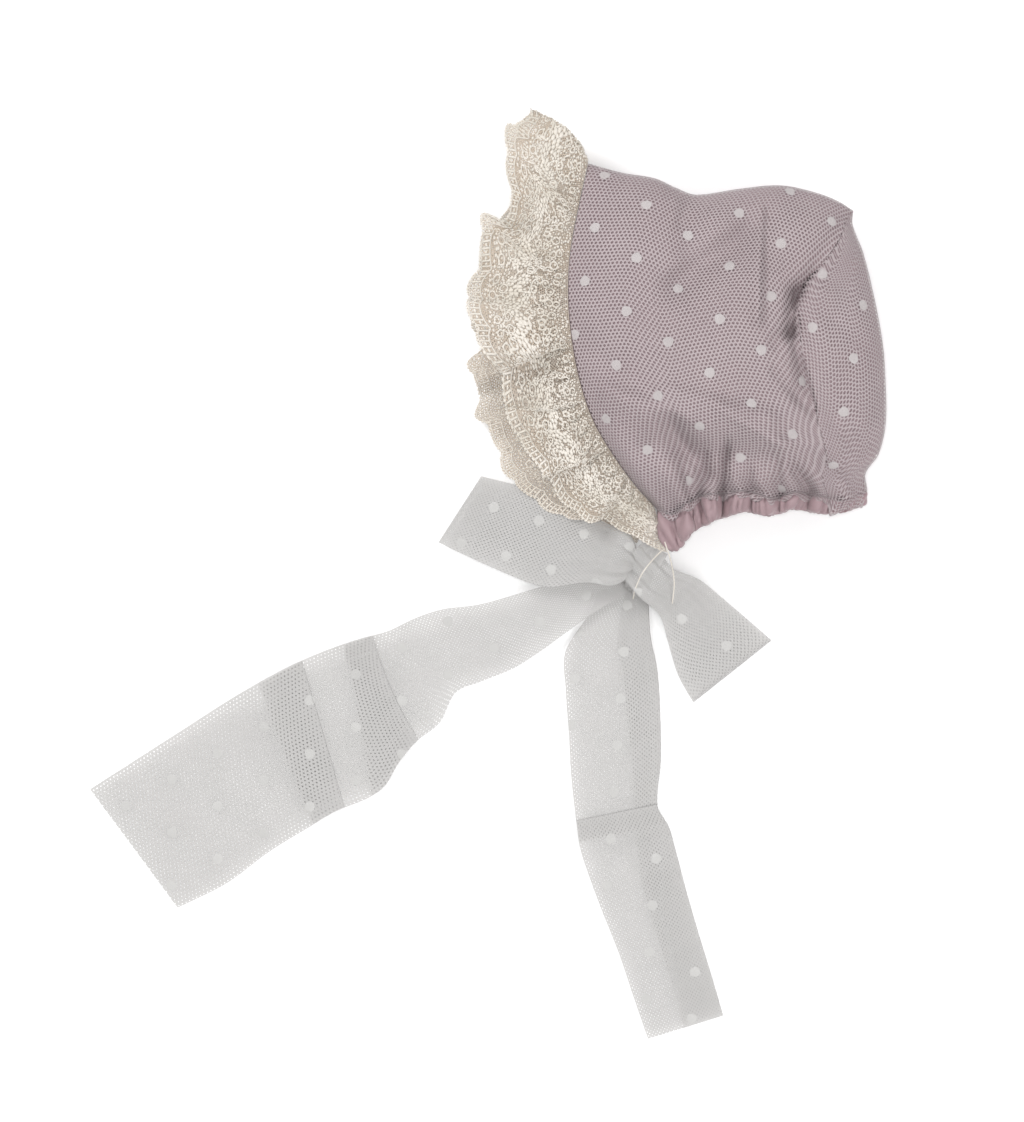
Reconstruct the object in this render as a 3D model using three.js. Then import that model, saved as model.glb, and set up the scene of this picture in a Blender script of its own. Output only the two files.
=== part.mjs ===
// Baby bonnet lying on its side: cloth crown, gathered lace round the face, ribbon tied in a bow.
// Millimetres, +Z up. The bonnet lies on z = 0 with its face opening towards -X and its neck towards -Y.
// The origin is the middle of the crown, on the flat stretch that it rests on.
import * as THREE from 'three';

// Driving dimensions
const crownLength = 142; // face seam to the fold at the back of the head
const crownHeight = 172; // chin corner to the fold over the top of the head
const crownPuff = 58; // how high the crown stands as it lies
const foldLevel = 19; // height of the fold that runs round the top and the back
const clothWall = 1.6; // cotton with its net, gathered
const seamGap = 0.6;
const clearance = 0.4;
const casingGap = 0.7; // between the crown's neck edge and the casing
const cornerGap = 1.2; // between the ends of the lace and the casing at the chin
const chinLift = 11.5; // the far chin corner rests on the bow
const casingWidth = 10.5;
const casingWall = 2.4;
const casingPleats = 30;
const pleatDepth = 0.7;
const laceWidth = 48; // seam to scalloped edge
const laceWall = 1.1;
const laceWaves = 9; // waves along one side of the face
const laceWaveHeight = 3.6;
const ribbonWidth = 66;
const ribbonWall = 0.9;
const layerGap = 0.8; // between two layers of folded ribbon
const leftTailLength = 255;
const rightTailLength = 200;
const leftLoopLength = 82.5;
const rightLoopLength = 58.5;
const loopHeight = 5; // between the two layers of a loop
const leftLoopLevel = 4.9; // how high the loop's lower layer starts at the knot
const rightLoopLevel = 4.2;
const knotLength = 20;
const knotWidth = 13;
const knotHeight = 15;
const strapWidth = 9;
const dropToKnot = [-7.7, -30.2]; // from the chin corner to the middle of the knot

// Outlines of the flat crown, as shares of its length (x) and height (y), seen from above.
const faceOutline = [
  { x: 0.275, y: 0.104 },
  { x: 0.209, y: 0.164 },
  { x: 0.146, y: 0.235 },
  { x: 0.082, y: 0.324 },
  { x: 0.041, y: 0.418 },
  { x: 0.013, y: 0.53 },
  { x: 0.0, y: 0.648 },
  { x: 0.006, y: 0.765 },
  { x: 0.032, y: 0.883 },
  { x: 0.063, y: 1.0 },
];
const backOutline = [
  { x: 0.943, y: 0.151 },
  { x: 0.937, y: 0.193 },
  { x: 0.978, y: 0.243 },
  { x: 1.0, y: 0.321 },
  { x: 1.0, y: 0.426 },
  { x: 0.991, y: 0.53 },
  { x: 0.965, y: 0.648 },
  { x: 0.93, y: 0.765 },
  { x: 0.896, y: 0.841 },
  { x: 0.899, y: 0.877 },
];
const topOutline = [
  { x: 0.063, y: 1.0 },
  { x: 0.165, y: 0.977 },
  { x: 0.275, y: 0.961 },
  { x: 0.339, y: 0.937 },
  { x: 0.402, y: 0.919 },
  { x: 0.544, y: 0.935 },
  { x: 0.671, y: 0.943 },
  { x: 0.782, y: 0.924 },
  { x: 0.854, y: 0.901 },
  { x: 0.899, y: 0.877 },
];
const neckOutline = [
  { x: 0.275, y: 0.104 },
  { x: 0.323, y: 0.089 },
  { x: 0.373, y: 0.117 },
  { x: 0.421, y: 0.138 },
  { x: 0.491, y: 0.144 },
  { x: 0.563, y: 0.149 },
  { x: 0.639, y: 0.131 },
  { x: 0.712, y: 0.146 },
  { x: 0.794, y: 0.136 },
  { x: 0.877, y: 0.125 },
  { x: 0.943, y: 0.151 },
];

// The crown seam: how far back it lies (share of the way from face to back) at each share up from the neck.
const seamLine = [
  { up: 0.0, back: 0.81 },
  { up: 0.12, back: 0.79 },
  { up: 0.25, back: 0.755 },
  { up: 0.4, back: 0.735 },
  { up: 0.55, back: 0.725 },
  { up: 0.66, back: 0.745 },
  { up: 0.77, back: 0.85 },
  { up: 0.88, back: 0.945 },
  { up: 1.0, back: 1.0 },
];

// Folds of the near side, between two points in shares of the crown. Height and reach are shares of crownPuff.
const folds = [
  { x0: 0.88, y0: 0.86, x1: 0.73, y1: 0.68, height: -0.09, reach: 0.09 },
  { x0: 0.72, y0: 0.66, x1: 0.735, y1: 0.4, height: -0.08, reach: 0.08 },
  { x0: 0.5, y0: 0.93, x1: 0.66, y1: 0.76, height: -0.08, reach: 0.17 },
  { x0: 0.63, y0: 0.86, x1: 0.61, y1: 0.6, height: 0.05, reach: 0.13 },
  { x0: 0.4, y0: 0.93, x1: 0.38, y1: 0.78, height: -0.06, reach: 0.12 },
  { x0: 0.17, y0: 0.37, x1: 0.62, y1: 0.3, height: 0.05, reach: 0.14 },
  { x0: 0.25, y0: 0.26, x1: 0.6, y1: 0.23, height: -0.07, reach: 0.11 },
  { x0: 0.82, y0: 0.32, x1: 0.97, y1: 0.22, height: -0.06, reach: 0.12 },
];

// The edge of the neck casing, from the chin corner (along 0) to the back fold (along 1).
// dx and dy go from the crown's edge to the casing's, in shares of casingWidth.
const casingEdge = [
  { along: 0.0, dx: 0.38, dy: -1.68 },
  { along: 0.07, dx: 0.26, dy: -1.6 },
  { along: 0.12, dx: 0.16, dy: -1.39 },
  { along: 0.23, dx: 0.07, dy: -1.33 },
  { along: 0.3, dx: -0.05, dy: -1.16 },
  { along: 0.41, dx: -0.1, dy: -0.96 },
  { along: 0.5, dx: -0.1, dy: -0.85 },
  { along: 0.63, dx: -0.15, dy: -0.78 },
  { along: 0.81, dx: -0.28, dy: -0.72 },
  { along: 0.88, dx: -0.4, dy: -0.6 },
  { along: 0.95, dx: -0.32, dy: -0.6 },
  { along: 1.0, dx: -0.2, dy: -0.68 },
];

// The scalloped edge of the lace, from the chin corner (along 0) to the top fold (along 1).
// dx and dy go from the face seam to the edge in shares of laceWidth, and height is a share of crownPuff.
const nearLaceEdge = [
  { along: 0.0, dx: 0.066, dy: -0.422, height: 0.33, wave: 0.1 },
  { along: 0.105, dx: -0.183, dy: -0.441, height: 0.36, wave: 0.4 },
  { along: 0.161, dx: -0.349, dy: -0.512, height: 0.38, wave: 0.5 },
  { along: 0.228, dx: -0.489, dy: -0.475, height: 0.4, wave: 0.5 },
  { along: 0.29, dx: -0.545, dy: -0.38, height: 0.42, wave: 0.7 },
  { along: 0.358, dx: -0.681, dy: -0.319, height: 0.4, wave: 1.0 },
  { along: 0.426, dx: -0.703, dy: -0.199, height: 0.38, wave: 1.0 },
  { along: 0.485, dx: -0.69, dy: -0.09, height: 0.36, wave: 0.6 },
  { along: 0.524, dx: -0.838, dy: -0.11, height: 0.62, wave: 0.5 },
  { along: 0.582, dx: -0.933, dy: -0.027, height: 0.58, wave: 1.0 },
  { along: 0.636, dx: -0.957, dy: 0.067, height: 0.52, wave: 1.0 },
  { along: 0.692, dx: -0.835, dy: 0.136, height: 0.56, wave: 1.0 },
  { along: 0.754, dx: -0.808, dy: 0.243, height: 0.5, wave: 1.0 },
  { along: 0.813, dx: -0.619, dy: 0.257, height: 0.55, wave: 0.8 },
  { along: 0.894, dx: -0.699, dy: 0.404, height: 0.46, wave: 0.8 },
  { along: 0.953, dx: -0.677, dy: 0.506, height: 0.42, wave: 0.4 },
  { along: 1.0, dx: -0.562, dy: 0.544, height: 0.36, wave: 0.0 },
];
const farLaceEdge = [
  { along: 0.0, dx: -0.141, dy: -0.347, height: 0.21, wave: 0.05 },
  { along: 0.1, dx: -0.382, dy: -0.407, height: 0.23, wave: 0.1 },
  { along: 0.176, dx: -0.6, dy: -0.516, height: 0.225, wave: 0.15 },
  { along: 0.24, dx: -0.75, dy: -0.51, height: 0.215, wave: 0.15 },
  { along: 0.293, dx: -0.841, dy: -0.465, height: 0.18, wave: 0.3 },
  { along: 0.357, dx: -0.869, dy: -0.363, height: 0.13, wave: 0.6 },
  { along: 0.408, dx: -0.979, dy: -0.326, height: 0.1, wave: 0.7 },
  { along: 0.458, dx: -0.915, dy: -0.241, height: 0.1, wave: 0.8 },
  { along: 0.511, dx: -0.992, dy: -0.176, height: 0.1, wave: 0.8 },
  { along: 0.54, dx: -0.82, dy: -0.12, height: 0.1, wave: 0.8 },
  { along: 0.58, dx: -0.918, dy: -0.07, height: 0.1, wave: 0.8 },
  { along: 0.645, dx: -0.846, dy: 0.038, height: 0.1, wave: 0.8 },
  { along: 0.738, dx: -0.785, dy: 0.186, height: 0.1, wave: 0.8 },
  { along: 0.814, dx: -0.619, dy: 0.256, height: 0.11, wave: 0.7 },
  { along: 0.878, dx: -0.621, dy: 0.364, height: 0.14, wave: 0.5 },
  { along: 0.943, dx: -0.64, dy: 0.475, height: 0.2, wave: 0.2 },
  { along: 1.0, dx: -0.562, dy: 0.544, height: 0.36, wave: 0.0 },
];

// Loose ends of the ribbon. along is a share of the tail's length from the knot, the two edges and the
// inner edge of the folded stretch lie in shares of ribbonWidth beside its axis, and height is in shares of
// crownPuff.
const leftTail = [
  { along: 0.0, low: 0.075, high: -0.14, height: 0.064 },
  { along: 0.08, low: 0.081, high: -0.194, height: 0.064 },
  { along: 0.16, low: 0.119, high: -0.253, height: 0.062 },
  { along: 0.2, low: 0.14, high: -0.285, height: 0.055 },
  { along: 0.26, low: 0.156, high: -0.34, height: 0.03 },
  { along: 0.32, low: 0.13, high: -0.429, height: 0.06 },
  { along: 0.37, low: 0.113, high: -0.465, height: 0.09 },
  { along: 0.42, low: 0.24, high: -0.475, height: 0.05 },
  { along: 0.47, low: 0.275, high: -0.52, height: 0.1 },
  { along: 0.52, low: 0.35, high: -0.555, height: 0.05 },
  { along: 0.56, low: 0.44, high: -0.574, height: 0.03 },
  { along: 0.6, low: 0.458, high: -0.585, height: 0.05 },
  { along: 0.66, low: 0.432, high: -0.587, height: 0.09 },
  { along: 0.72, low: 0.442, high: -0.579, height: 0.045 },
  { along: 0.8, low: 0.459, high: -0.556, height: 0.03 },
  { along: 0.9, low: 0.51, high: -0.527, height: 0.025 },
  { along: 1.0, low: 0.497, high: -0.498, height: 0.025 },
];
const rightTail = [
  { along: 0.0, low: -0.05, high: 0.3, inner: 0.16, height: 0.004 },
  { along: 0.04, low: -0.12, high: 0.28, inner: 0.1, height: 0.004 },
  { along: 0.12, low: -0.34, high: 0.25, inner: 0.02, height: 0.004 },
  { along: 0.2, low: -0.385, high: 0.252, inner: 0.018, height: 0.02 },
  { along: 0.3, low: -0.419, high: 0.215, inner: -0.004, height: 0.045 },
  { along: 0.4, low: -0.458, high: 0.163, inner: -0.035, height: 0.04 },
  { along: 0.5, low: -0.48, high: 0.085, inner: -0.068, height: 0.05 },
  { along: 0.55, low: -0.488, high: 0.133, inner: -0.09, height: 0.065 },
  { along: 0.6, low: -0.472, high: 0.149, inner: -0.105, height: 0.045 },
  { along: 0.7, low: -0.42, high: 0.171, inner: -0.108, height: 0.04 },
  { along: 0.8, low: -0.359, high: 0.2, inner: -0.072, height: 0.05 },
  { along: 0.9, low: -0.315, high: 0.234, inner: -0.039, height: 0.04 },
  { along: 1.0, low: -0.27, high: 0.264, inner: -0.01, height: 0.03 },
];
const leftTailTurn = -151.5; // degrees from +X, seen from above
const rightTailTurn = -79.5;
const leftLoopTurn = 161.9;
const rightLoopTurn = -47.8;

// Edges of the loops, in shares of ribbonWidth beside the axis, at shares of the loop's length.
const leftLoop = [
  { along: 0.1, low: -0.15, high: 0.16 },
  { along: 0.25, low: -0.22, high: 0.26 },
  { along: 0.45, low: -0.265, high: 0.335 },
  { along: 0.7, low: -0.27, high: 0.32 },
  { along: 1.0, low: -0.25, high: 0.27 },
];
const rightLoop = [
  { along: 0.12, low: -0.13, high: 0.17 },
  { along: 0.3, low: -0.11, high: 0.25 },
  { along: 0.5, low: -0.19, high: 0.28 },
  { along: 0.75, low: -0.29, high: 0.31 },
  { along: 1.0, low: -0.34, high: 0.34 },
];

const lerp = (from, to, share) => from + (to - from) * share;

// The value of one column of a table at a key, on a smooth line through the rows.
function smooth(rows, keyName, valueName, key) {
  const last = rows.length - 1;
  const at = Math.min(Math.max(key, rows[0][keyName]), rows[last][keyName]);
  let k = 0;
  while (k < last - 1 && at > rows[k + 1][keyName]) k += 1;
  const slope = (n) => {
    const before = rows[Math.max(n - 1, 0)];
    const after = rows[Math.min(n + 1, last)];
    return (after[valueName] - before[valueName]) / (after[keyName] - before[keyName]);
  };
  const span = rows[k + 1][keyName] - rows[k][keyName];
  const t = (at - rows[k][keyName]) / span;
  const start = rows[k][valueName] * (1 + 2 * t) * (1 - t) ** 2 + rows[k + 1][valueName] * t * t * (3 - 2 * t);
  return start + span * (slope(k) * t * (1 - t) ** 2 + slope(k + 1) * t * t * (t - 1));
}

// An outline as a line from 0 to 1, measured along its chords, in millimetres round the crown's middle.
function outline(points) {
  const rows = points.map((p) => ({ x: (p.x - 0.5) * crownLength, y: (p.y - 0.5) * crownHeight, along: 0 }));
  for (let k = 1; k < rows.length; k += 1) {
    rows[k].along = rows[k - 1].along + Math.hypot(rows[k].x - rows[k - 1].x, rows[k].y - rows[k - 1].y);
  }
  const total = rows[rows.length - 1].along;
  rows.forEach((row) => {
    row.along /= total;
  });
  return (share) => ({
    x: smooth(rows, 'along', 'x', share),
    y: smooth(rows, 'along', 'y', share),
  });
}

const faceLine = outline(faceOutline);
const backLine = outline(backOutline);
const topLine = outline(topOutline);
const neckLine = outline(neckOutline);

// The place in plan of a point of the crown: back and up are shares from the face and from the neck.
function planPlace(back, up) {
  const corner = (b, u) => (b ? backLine(u) : faceLine(u));
  const place = {};
  for (const axis of ['x', 'y']) {
    const across = lerp(faceLine(up)[axis], backLine(up)[axis], back);
    const along = lerp(neckLine(back)[axis], topLine(back)[axis], up);
    const bottom = lerp(corner(0, 0)[axis], corner(1, 0)[axis], back);
    const top = lerp(corner(0, 1)[axis], corner(1, 1)[axis], back);
    place[axis] = across + along - lerp(bottom, top, up);
  }
  return place;
}

// How full the crown is at a share of the way to a fold: 1 in the middle, 0 at the fold.
const fullness = (share, roundness) => (1 - Math.min(share, 1) ** roundness) ** (1 / roundness);

function distanceToFold(fold, x, y) {
  const ax = (fold.x0 - 0.5) * crownLength;
  const ay = (fold.y0 - 0.5) * crownHeight;
  const bx = (fold.x1 - 0.5) * crownLength;
  const by = (fold.y1 - 0.5) * crownHeight;
  const share = ((x - ax) * (bx - ax) + (y - ay) * (by - ay)) / ((bx - ax) ** 2 + (by - ay) ** 2);
  const held = Math.min(Math.max(share, 0), 1);
  return Math.hypot(x - lerp(ax, bx, held), y - lerp(ay, by, held));
}

const faceDrop = 0.3; // share of crownPuff that the near side loses towards the face seam
const neckDrop = 0.4; // and towards the neck
const dropReach = 0.16; // share of the crown over which it does
const pleatCount = 8; // soft pleats above the casing, on each side
const pleatRise = 0.03;
const pleatReach = 0.09;

// Height of the near side of the crown.
function nearHeight(back, up) {
  const { x, y } = planPlace(back, up);
  const full = fullness(back, 3) * fullness(up, 2.6);
  const drop = faceDrop * Math.exp(-back / dropReach) + neckDrop * Math.exp(-up / dropReach);
  const pleat = pleatRise * Math.exp(-up / pleatReach) * Math.sin(2 * Math.PI * pleatCount * back);
  let relief = pleat;
  for (const fold of folds) {
    relief += fold.height * Math.exp(-((distanceToFold(fold, x, y) / (fold.reach * crownPuff)) ** 2));
  }
  return foldLevel + ((1 - drop + relief) * crownPuff - foldLevel) * full;
}

// A bump that is 1 in the middle and 0 from a reach of 1 on.
const fading = (reach) => Math.max(1 - reach ** 2, 0) ** 2;

// Height of the far side, flat on the floor except at the folds and at the chin corner.
function farHeight(back, up) {
  const full = fullness(back, 5) * fullness(up, 4.5);
  const chin = chinLift * fading(up / 0.42) * fading(back / 0.6);
  const flat = foldLevel * (1 - full * 1.06);
  return Math.max(flat, 0) + chin * full;
}

// A point of the crown: side 0 is the near side, 1 the far side.
function crownPoint(back, up, side) {
  const { x, y } = planPlace(back, up);
  return new THREE.Vector3(x, y, side ? farHeight(back, up) : nearHeight(back, up));
}

const keyOf = (p) => [p.x, p.y, p.z].map((v) => Math.round(v * 500)).join(' ');

// One closed solid between two grids of points of the same size. Points that fall together are joined.
function solidBetween(front, back) {
  const rows = front.length;
  const columns = front[0].length;
  const points = [];
  const indexOf = new Map();
  const add = (p) => {
    const key = keyOf(p);
    if (!indexOf.has(key)) {
      indexOf.set(key, points.length / 3);
      points.push(p.x, p.y, p.z);
    }
    return indexOf.get(key);
  };
  const frontIndex = front.map((row) => row.map(add));
  const backIndex = back.map((row) => row.map(add));
  const faces = [];
  const triangle = (a, b, c) => {
    if (a !== b && b !== c && a !== c) faces.push([a, b, c]);
  };
  const quad = (a, b, c, d) => {
    triangle(a, b, c);
    triangle(a, c, d);
  };
  for (let i = 0; i < rows - 1; i += 1) {
    for (let j = 0; j < columns - 1; j += 1) {
      quad(frontIndex[i][j], frontIndex[i + 1][j], frontIndex[i + 1][j + 1], frontIndex[i][j + 1]);
      quad(backIndex[i][j], backIndex[i][j + 1], backIndex[i + 1][j + 1], backIndex[i + 1][j]);
    }
  }
  for (let i = 0; i < rows - 1; i += 1) {
    const end = columns - 1;
    quad(frontIndex[i][0], backIndex[i][0], backIndex[i + 1][0], frontIndex[i + 1][0]);
    quad(frontIndex[i][end], frontIndex[i + 1][end], backIndex[i + 1][end], backIndex[i][end]);
  }
  for (let j = 0; j < columns - 1; j += 1) {
    const end = rows - 1;
    quad(frontIndex[0][j], frontIndex[0][j + 1], backIndex[0][j + 1], backIndex[0][j]);
    quad(frontIndex[end][j], backIndex[end][j], backIndex[end][j + 1], frontIndex[end][j + 1]);
  }
  const at = (n) => new THREE.Vector3().fromArray(points, n * 3);
  const volume = faces.reduce((sum, [a, b, c]) => sum + at(a).dot(at(b).cross(at(c))), 0);
  const outward = volume > 0 ? faces : faces.map(([a, b, c]) => [a, c, b]);
  const geometry = new THREE.BufferGeometry();
  geometry.setAttribute('position', new THREE.Float32BufferAttribute(points, 3));
  geometry.setIndex(outward.flat());
  geometry.computeVertexNormals();
  return geometry;
}

// The grid moved by a distance along its own normals. Points that fall together share a normal.
function offsetGrid(grid, distance) {
  const sums = new Map();
  const addNormal = (p, normal) => {
    const key = keyOf(p);
    if (!sums.has(key)) sums.set(key, new THREE.Vector3());
    sums.get(key).add(normal);
  };
  for (let i = 0; i < grid.length - 1; i += 1) {
    for (let j = 0; j < grid[0].length - 1; j += 1) {
      const [a, b, c, d] = [grid[i][j], grid[i + 1][j], grid[i + 1][j + 1], grid[i][j + 1]];
      const normal = new THREE.Vector3().crossVectors(c.clone().sub(a), d.clone().sub(b));
      [a, b, c, d].forEach((p) => addNormal(p, normal));
    }
  }
  return grid.map((row) => row.map((p) => {
    const normal = sums.get(keyOf(p)).clone().normalize();
    return p.clone().addScaledVector(normal, distance);
  }));
}

// Rows and columns of points from a function of two shares.
function pointGrid(rowShares, columnShares, place) {
  return rowShares.map((r) => columnShares.map((c) => place(r, c)));
}

const steps = (count) => Array.from({ length: count + 1 }, (_, k) => k / count);

// Shares from one side over a fold to the other, closer together at the fold in the middle.
function overFold(share) {
  const reach = 1 - Math.abs(1 - 2 * share);
  return reach + 0.22 * Math.sin(Math.PI * reach);
}

const sideOf = (share) => (share > 0.5 ? 1 : 0);

const seamAt = (up) => Math.min(smooth(seamLine, 'up', 'back', up), 1);
const panelSteps = 30; // points round each panel's section, over the top fold and back

function mainPanel() {
  const outer = pointGrid(steps(28), steps(panelSteps), (station, around) => {
    const up = overFold(around);
    const end = seamAt(up) - seamGap / crownLength;
    return crownPoint(station * end, up, sideOf(around));
  });
  return solidBetween(outer, offsetGrid(outer, -clothWall));
}

function backPanel() {
  const edgeAt = (up) => seamAt(up) + seamGap / crownLength;
  let tip = 1;
  while (edgeAt(tip) >= 1) tip -= 0.001;
  const rises = steps(panelSteps / 2).map((share) => Math.min(overFold(share / 2), tip));
  const outer = pointGrid(rises, steps(20), (up, around) => {
    const start = up === tip ? 1 : edgeAt(up);
    return crownPoint(lerp(start, 1, overFold(around)), up, sideOf(around));
  });
  return solidBetween(outer, offsetGrid(outer, clothWall));
}

// A point of the casing: around goes from the near chin corner over the back to the far chin corner.
function casingPoint(around, across) {
  const along = lerp(cornerGap / crownLength, 1, overFold(around));
  const edge = crownPoint(along, 0, sideOf(around));
  const dx = smooth(casingEdge, 'along', 'dx', along) * casingWidth;
  const dy = smooth(casingEdge, 'along', 'dy', along) * casingWidth;
  const reach = Math.hypot(dx, dy);
  const share = (casingGap + across * (reach - casingGap)) / reach;
  const turn = sideOf(around) ? pleatDepth : -0.12 * casingWidth * across;
  return edge.add(new THREE.Vector3(dx * share, dy * share, turn));
}

function neckCasing() {
  const around = steps(casingPleats * 4);
  const across = [0, 0.3, 0.7, 1];
  const middle = pointGrid(around, across, casingPoint);
  const inner = offsetGrid(middle, casingWall);
  const outer = middle.map((row, i) => row.map((p, j) => {
    const bulge = Math.sin(Math.PI * lerp(0.15, 0.85, across[j]));
    const pleat = 0.5 + 0.5 * Math.sin(2 * Math.PI * casingPleats * around[i]);
    const out = p.clone().sub(inner[i][j]).normalize();
    return p.clone().addScaledVector(out, pleatDepth * pleat * bulge);
  }));
  return solidBetween(outer, inner);
}

// A point of the lace: around goes from the near chin corner over the top to the far chin corner.
function lacePoint(around, across) {
  const side = sideOf(around);
  const along = lerp(cornerGap / crownHeight, 1, 1 - Math.abs(1 - 2 * around));
  const rows = side ? farLaceEdge : nearLaceEdge;
  const seam = crownPoint(0, along, side);
  const dx = smooth(rows, 'along', 'dx', along) * laceWidth;
  const dy = smooth(rows, 'along', 'dy', along) * laceWidth;
  const edgeHeight = smooth(rows, 'along', 'height', along) * crownPuff;
  const size = smooth(rows, 'along', 'wave', along) * laceWaveHeight;
  const wave = size * across ** 1.2 * Math.sin(2 * Math.PI * laceWaves * along);
  const reach = Math.hypot(dx, dy);
  const share = (clearance + across * (reach - clearance)) / reach;
  return new THREE.Vector3(
    seam.x + dx * share,
    seam.y + dy * share,
    lerp(seam.z, edgeHeight, Math.sin((across * Math.PI) / 2)) + wave,
  );
}

function laceRuffle() {
  const outer = pointGrid(steps(88), steps(4), lacePoint);
  return solidBetween(outer, offsetGrid(outer, -laceWall));
}

// The bow
const chinCorner = faceLine(0);
const knotPlace = new THREE.Vector3(chinCorner.x + dropToKnot[0], chinCorner.y + dropToKnot[1], 0);

// Where each ribbon's axis starts, from the middle of the knot, in shares of ribbonWidth, and how far its
// end slants: what a point beside the axis gains ahead.
const roots = {
  leftTail: { x: -0.04, y: -0.02, turn: leftTailTurn, slant: -0.14 },
  rightTail: { x: -0.225, y: -0.1, turn: rightTailTurn, slant: -0.12 },
  leftLoop: { x: -0.02, y: 0.068, turn: leftLoopTurn, slant: 0.265 },
  rightLoop: { x: 0.048, y: 0, turn: rightLoopTurn, slant: 0.065 },
};

// A place by a ribbon's axis: ahead along it, beside to its left.
function fromRoot(root, length, along, beside, height) {
  const angle = THREE.MathUtils.degToRad(root.turn);
  const ahead = along * length + root.slant * beside * along ** 3;
  return new THREE.Vector3(
    knotPlace.x + root.x * ribbonWidth + ahead * Math.cos(angle) - beside * Math.sin(angle),
    knotPlace.y + root.y * ribbonWidth + ahead * Math.sin(angle) + beside * Math.cos(angle),
    height,
  );
}

const knotFlank = (rise) => Math.sin(Math.PI * lerp(0.2, 0.8, rise)) ** 0.3;
const knotCrease = 0.05;

function knotPoint(turnShare, rise) {
  const angle = turnShare * 2 * Math.PI;
  const flank = knotFlank(rise) * (1 + knotCrease * Math.cos(6 * angle));
  return new THREE.Vector3(
    knotPlace.x + (knotWidth / 2) * flank * Math.cos(angle),
    knotPlace.y + (knotLength / 2) * flank * Math.sin(angle),
    rise * knotHeight + ribbonWall,
  );
}

function bowKnot() {
  const turns = 20;
  const rises = 6;
  const points = [];
  const faces = [];
  for (let i = 0; i <= rises; i += 1) {
    for (let j = 0; j < turns; j += 1) points.push(...knotPoint(j / turns, i / rises).toArray());
  }
  points.push(knotPlace.x, knotPlace.y, ribbonWall, knotPlace.x, knotPlace.y, knotHeight + ribbonWall);
  const under = (rises + 1) * turns;
  for (let j = 0; j < turns; j += 1) {
    const next = (j + 1) % turns;
    faces.push(under, next, j, under + 1, rises * turns + j, rises * turns + next);
    for (let i = 0; i < rises; i += 1) {
      const [a, b] = [i * turns + j, i * turns + next];
      faces.push(a, b, b + turns, a, b + turns, a + turns);
    }
  }
  const geometry = new THREE.BufferGeometry();
  geometry.setAttribute('position', new THREE.Float32BufferAttribute(points, 3));
  geometry.setIndex(faces);
  geometry.computeVertexNormals();
  return geometry;
}

// The knot's reach from its middle towards a place, at that place's height, with the clearance round it.
function knotReach(place) {
  const rise = Math.min(Math.max((place.z - ribbonWall) / knotHeight, 0), 1);
  const flank = knotFlank(rise) * (1 + knotCrease);
  const angle = Math.atan2(place.y - knotPlace.y, place.x - knotPlace.x);
  const [wide, long] = [(knotWidth / 2) * flank, (knotLength / 2) * flank];
  return (wide * long) / Math.hypot(long * Math.cos(angle), wide * Math.sin(angle)) + clearance;
}

// The first share along a ribbon at which its whole width is clear of the knot.
function clearStart(rowAt) {
  let along = 0;
  const inside = (p) => Math.hypot(p.x - knotPlace.x, p.y - knotPlace.y) < knotReach(p);
  while (rowAt(along).some(inside)) along += 0.002;
  return along;
}

function flatTail(rows, length, root) {
  const rowAt = (along) => steps(5).map((c) => {
    const beside = lerp(smooth(rows, 'along', 'high', along), smooth(rows, 'along', 'low', along), c);
    const height = smooth(rows, 'along', 'height', along) * crownPuff;
    const curl = 1 - 0.5 * Math.sin(Math.PI * c) * (1 - Math.exp(-((along / 0.3) ** 4)));
    return fromRoot(root, length, along, beside * ribbonWidth, ribbonWall + height * curl);
  });
  const start = clearStart(rowAt);
  const outer = steps(28).map((s) => rowAt(lerp(start, 1, s)));
  return solidBetween(outer, offsetGrid(outer, -ribbonWall));
}

// A tail folded lengthwise: the upper layer, the fold at its high edge and the layer beneath.
function foldedTail(rows, length, root) {
  const radius = ribbonWall + layerGap / 2;
  const bends = 4;
  const rowAt = (along) => {
    const [low, high, inner] = ['low', 'high', 'inner'].map((name) => (
      smooth(rows, 'along', name, along) * ribbonWidth));
    const rise = smooth(rows, 'along', 'height', along) * crownPuff;
    const place = (beside, height) => fromRoot(root, length, along, beside, height);
    const row = [0, 0.3, 0.65, 1].map((c) => (
      place(lerp(low, high - radius, c), rise + radius * (1.65 + 0.35 * c))));
    for (let k = 1; k <= bends; k += 1) {
      const bend = (k / bends) * Math.PI;
      row.push(place(high - radius * (1 - Math.sin(bend)), rise + radius * (1 + Math.cos(bend))));
    }
    row.push(place(lerp(high - radius, inner, 0.5), rise));
    row.push(place(inner, rise));
    return row;
  };
  const start = clearStart(rowAt);
  const outer = steps(26).map((s) => rowAt(lerp(start, 1, s)));
  return solidBetween(outer, offsetGrid(outer, -ribbonWall));
}

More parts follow.
